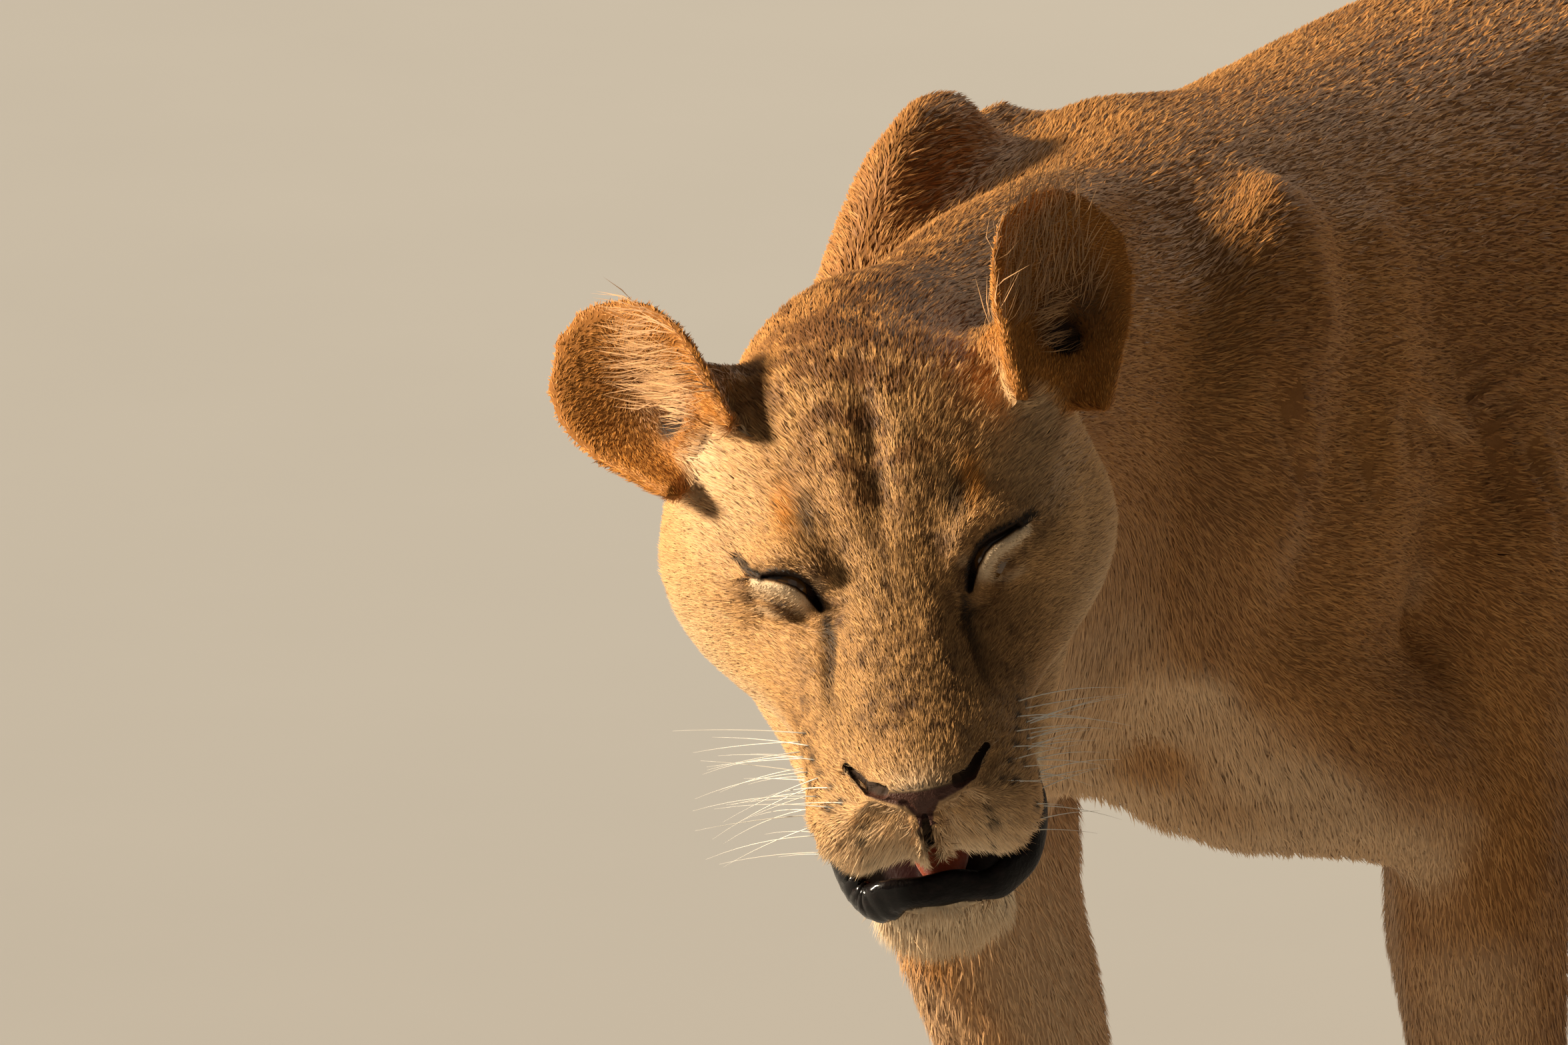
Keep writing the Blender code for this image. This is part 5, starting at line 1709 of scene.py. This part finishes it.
for side, hole in EAR_HOLES.items():
    h = to_head(root_plain)
    facing = (root_normal @ HEAD_AXES) @ OUT_AXIS
    from_hole = (h - hole) * (side, 1, 1)
    height = from_hole @ BROW_AXIS
    around = np.linalg.norm(from_hole, axis=1)
    roots_to, most, sweep_to = EAR_FRINGES[side]
    cup = (in_ears(root_plain) > 0.3) & (h[:, 0] * side > 0) & (facing > 0.05)
    inner_edge = cup & (from_hole[:, 0] < roots_to) & (height > 0.004)
    fringe("ear_fringe", side, inner_edge, most, sweep_to, 0.029, 0.58)
    over_hole = (h[:, 0] * side > 0.03) & (from_hole[:, 0] < 0.003) & (height > -0.010)
    over_hole &= (around > 0.006) & (around < 0.022)
    fringe("canal_fringe", side, over_hole, 170, (0.85 * side, 0.15, 0.10), 0.017, 0.60)

# %% [markdown]
# ## Whiskers
# Thin, white and springy, rooted in the dark spots of the pads. Each is a tapering tube with a slight droop.

# %% Whiskers
WHISKER_MARGIN = 0.008
WHISKER_RADIUS = 0.00050
WHISKER_SIDES = 4
WHISKER_RINGS = 8
FIRST_WHISKER = 0.038
ROOT_INSIDE = 0.004
WHITE = (0.80, 0.77, 0.70)
STRAW = (0.66, 0.60, 0.50)


def whisker(root, direction, length, droop):
    """The points of one whisker, ring after ring, from its root to its tip."""
    verts = []
    for t in np.linspace(0, 1, WHISKER_RINGS):
        centre = np.array(root) + direction * length * t + np.array((0, 0, -droop)) * t * t
        for k in range(WHISKER_SIDES):
            turn = 2 * pi * k / WHISKER_SIDES
            verts.append(centre + np.array((0, cos(turn), sin(turn))) * WHISKER_RADIUS * (1 - 0.9 * t))
    return verts


def whiskers():
    """All the whiskers, none of them reaching further to her left than the solids and a small margin."""
    verts, faces = [], []
    for side in (1, -1):
        for x, y, z in WHISKER_ROOTS:
            if x < FIRST_WHISKER:
                continue
            direction = unit(np.array((side * 1.0, RNG.uniform(0.15, 0.75), RNG.uniform(-0.55, -0.05))))
            room = cad_high[0] + WHISKER_MARGIN - from_head((side * x, y, z))[0]
            length = min(RNG.uniform(0.040, 0.080), room / max((HEAD_AXES @ direction)[0], 0.01))
            droop = length * RNG.uniform(0.05, 0.3)
            for face in tube_faces(WHISKER_RINGS, WHISKER_SIDES):
                faces.append(tuple(i + len(verts) for i in face))
            verts += whisker((side * (x - ROOT_INSIDE), y, z), direction, length, droop)
    return tube_mesh("whiskers", verts, faces)


whisker_finish = Finish("whisker_finish", Roughness=0.35)
whisker_finish.set("Base Color", whisker_finish.noise(60.0).over(WHITE, STRAW))
whisker_piece = add_piece("whiskers", whiskers(), whisker_finish)
print("whiskers:", len(whisker_piece.data.polygons), "faces")

# %% [markdown]
# ## Floor, light and camera
# The floor is plain and pale. One warm, soft, sun-like key stands low before her right side, since she
# squints into it; a weak fill keeps her left side from going black, and a rim from behind parts her back
# from the floor. The camera looks down on her a little, from well back with a long lens, as one must with
# lions.

# %% The floor
FLOOR_HALF = 30
FLOOR_GREY = (0.405, 0.399, 0.390)
FLOOR_PALE = (0.430, 0.424, 0.414)

floor_finish = Finish("floor_finish", Roughness=0.9)
floor_finish.set("Base Color", floor_finish.noise(3.0).over(FLOOR_GREY, FLOOR_PALE))
floor_corners = [(FLOOR_HALF * x, FLOOR_HALF * y, 0) for x, y in ((-1, -1), (1, -1), (1, 1), (-1, 1))]
floor = placed("floor", mesh_from("floor", floor_corners, [(0, 1, 2, 3)]))
floor.data.materials.append(floor_finish.material)
print("floor:", 2 * FLOOR_HALF, "m wide")

# %% The camera
CAMERA_TURN = radians(30)
CAMERA_RISE = radians(15.5)
CAMERA_DISTANCE = 7.5
HEAD_OFF_CENTRE = (0.057, 0.040)
LENS = 332.9
right = Vector((cos(CAMERA_TURN), sin(CAMERA_TURN), 0))
up = Vector((-sin(CAMERA_TURN) * sin(CAMERA_RISE), cos(CAMERA_TURN) * sin(CAMERA_RISE), cos(CAMERA_RISE)))
back = right.cross(up)
aside, above = HEAD_OFF_CENTRE
pose = Matrix((right, up, back)).transposed().to_4x4()
pose.translation = HEAD.translation - aside * right + above * up + CAMERA_DISTANCE * back

camera_data = bpy.data.cameras.new("camera")
camera_data.lens = LENS
camera_data.sensor_width = 36
camera_data.clip_end = 100
camera = placed("camera", camera_data)
camera.matrix_world = pose
bpy.context.scene.camera = camera
print("camera at", [round(v, 2) for v in pose.translation])

# %% The lights
LIT_POINT = Vector((0, -0.3, 0.6))
SUN_WARM = (1.0, 0.85, 0.64)
FILL_WARM = (1.0, 0.92, 0.82)
RIM_WARM = (1.0, 0.88, 0.70)
ROOM = (1.0, 0.93, 0.84, 1)
ROOM_STRENGTH = 0.088


def light(name, kind, place, energy, colour, **settings):
    """A light at place that shines at her; energy is in watts, or for a sun in watts to the square metre."""
    data = bpy.data.lights.new(name, kind)
    data.energy = energy
    data.color = colour
    for setting, value in settings.items():
        setattr(data, setting, value)
    towards = (Vector(place) - LIT_POINT).to_track_quat("Z", "Y")
    placed(name, data).matrix_world = Matrix.Translation(place) @ towards.to_matrix().to_4x4()
    print(name, energy)


light("key", "SUN", (-6.3, -3.9, 3.8), 8.3, SUN_WARM, angle=radians(11))
light("fill", "AREA", (4.5, -5.0, 3.0), 9, FILL_WARM, size=4.0)
light("rim", "AREA", (-0.8, 6.0, 4.6), 120, RIM_WARM, size=2.0)
world = bpy.data.worlds.new("studio")
bpy.context.scene.world = world
world.use_nodes = True
background = world.node_tree.nodes["Background"]
background.inputs["Color"].default_value = ROOM
background.inputs["Strength"].default_value = ROOM_STRENGTH
bpy.context.scene.view_settings.view_transform = "Standard"
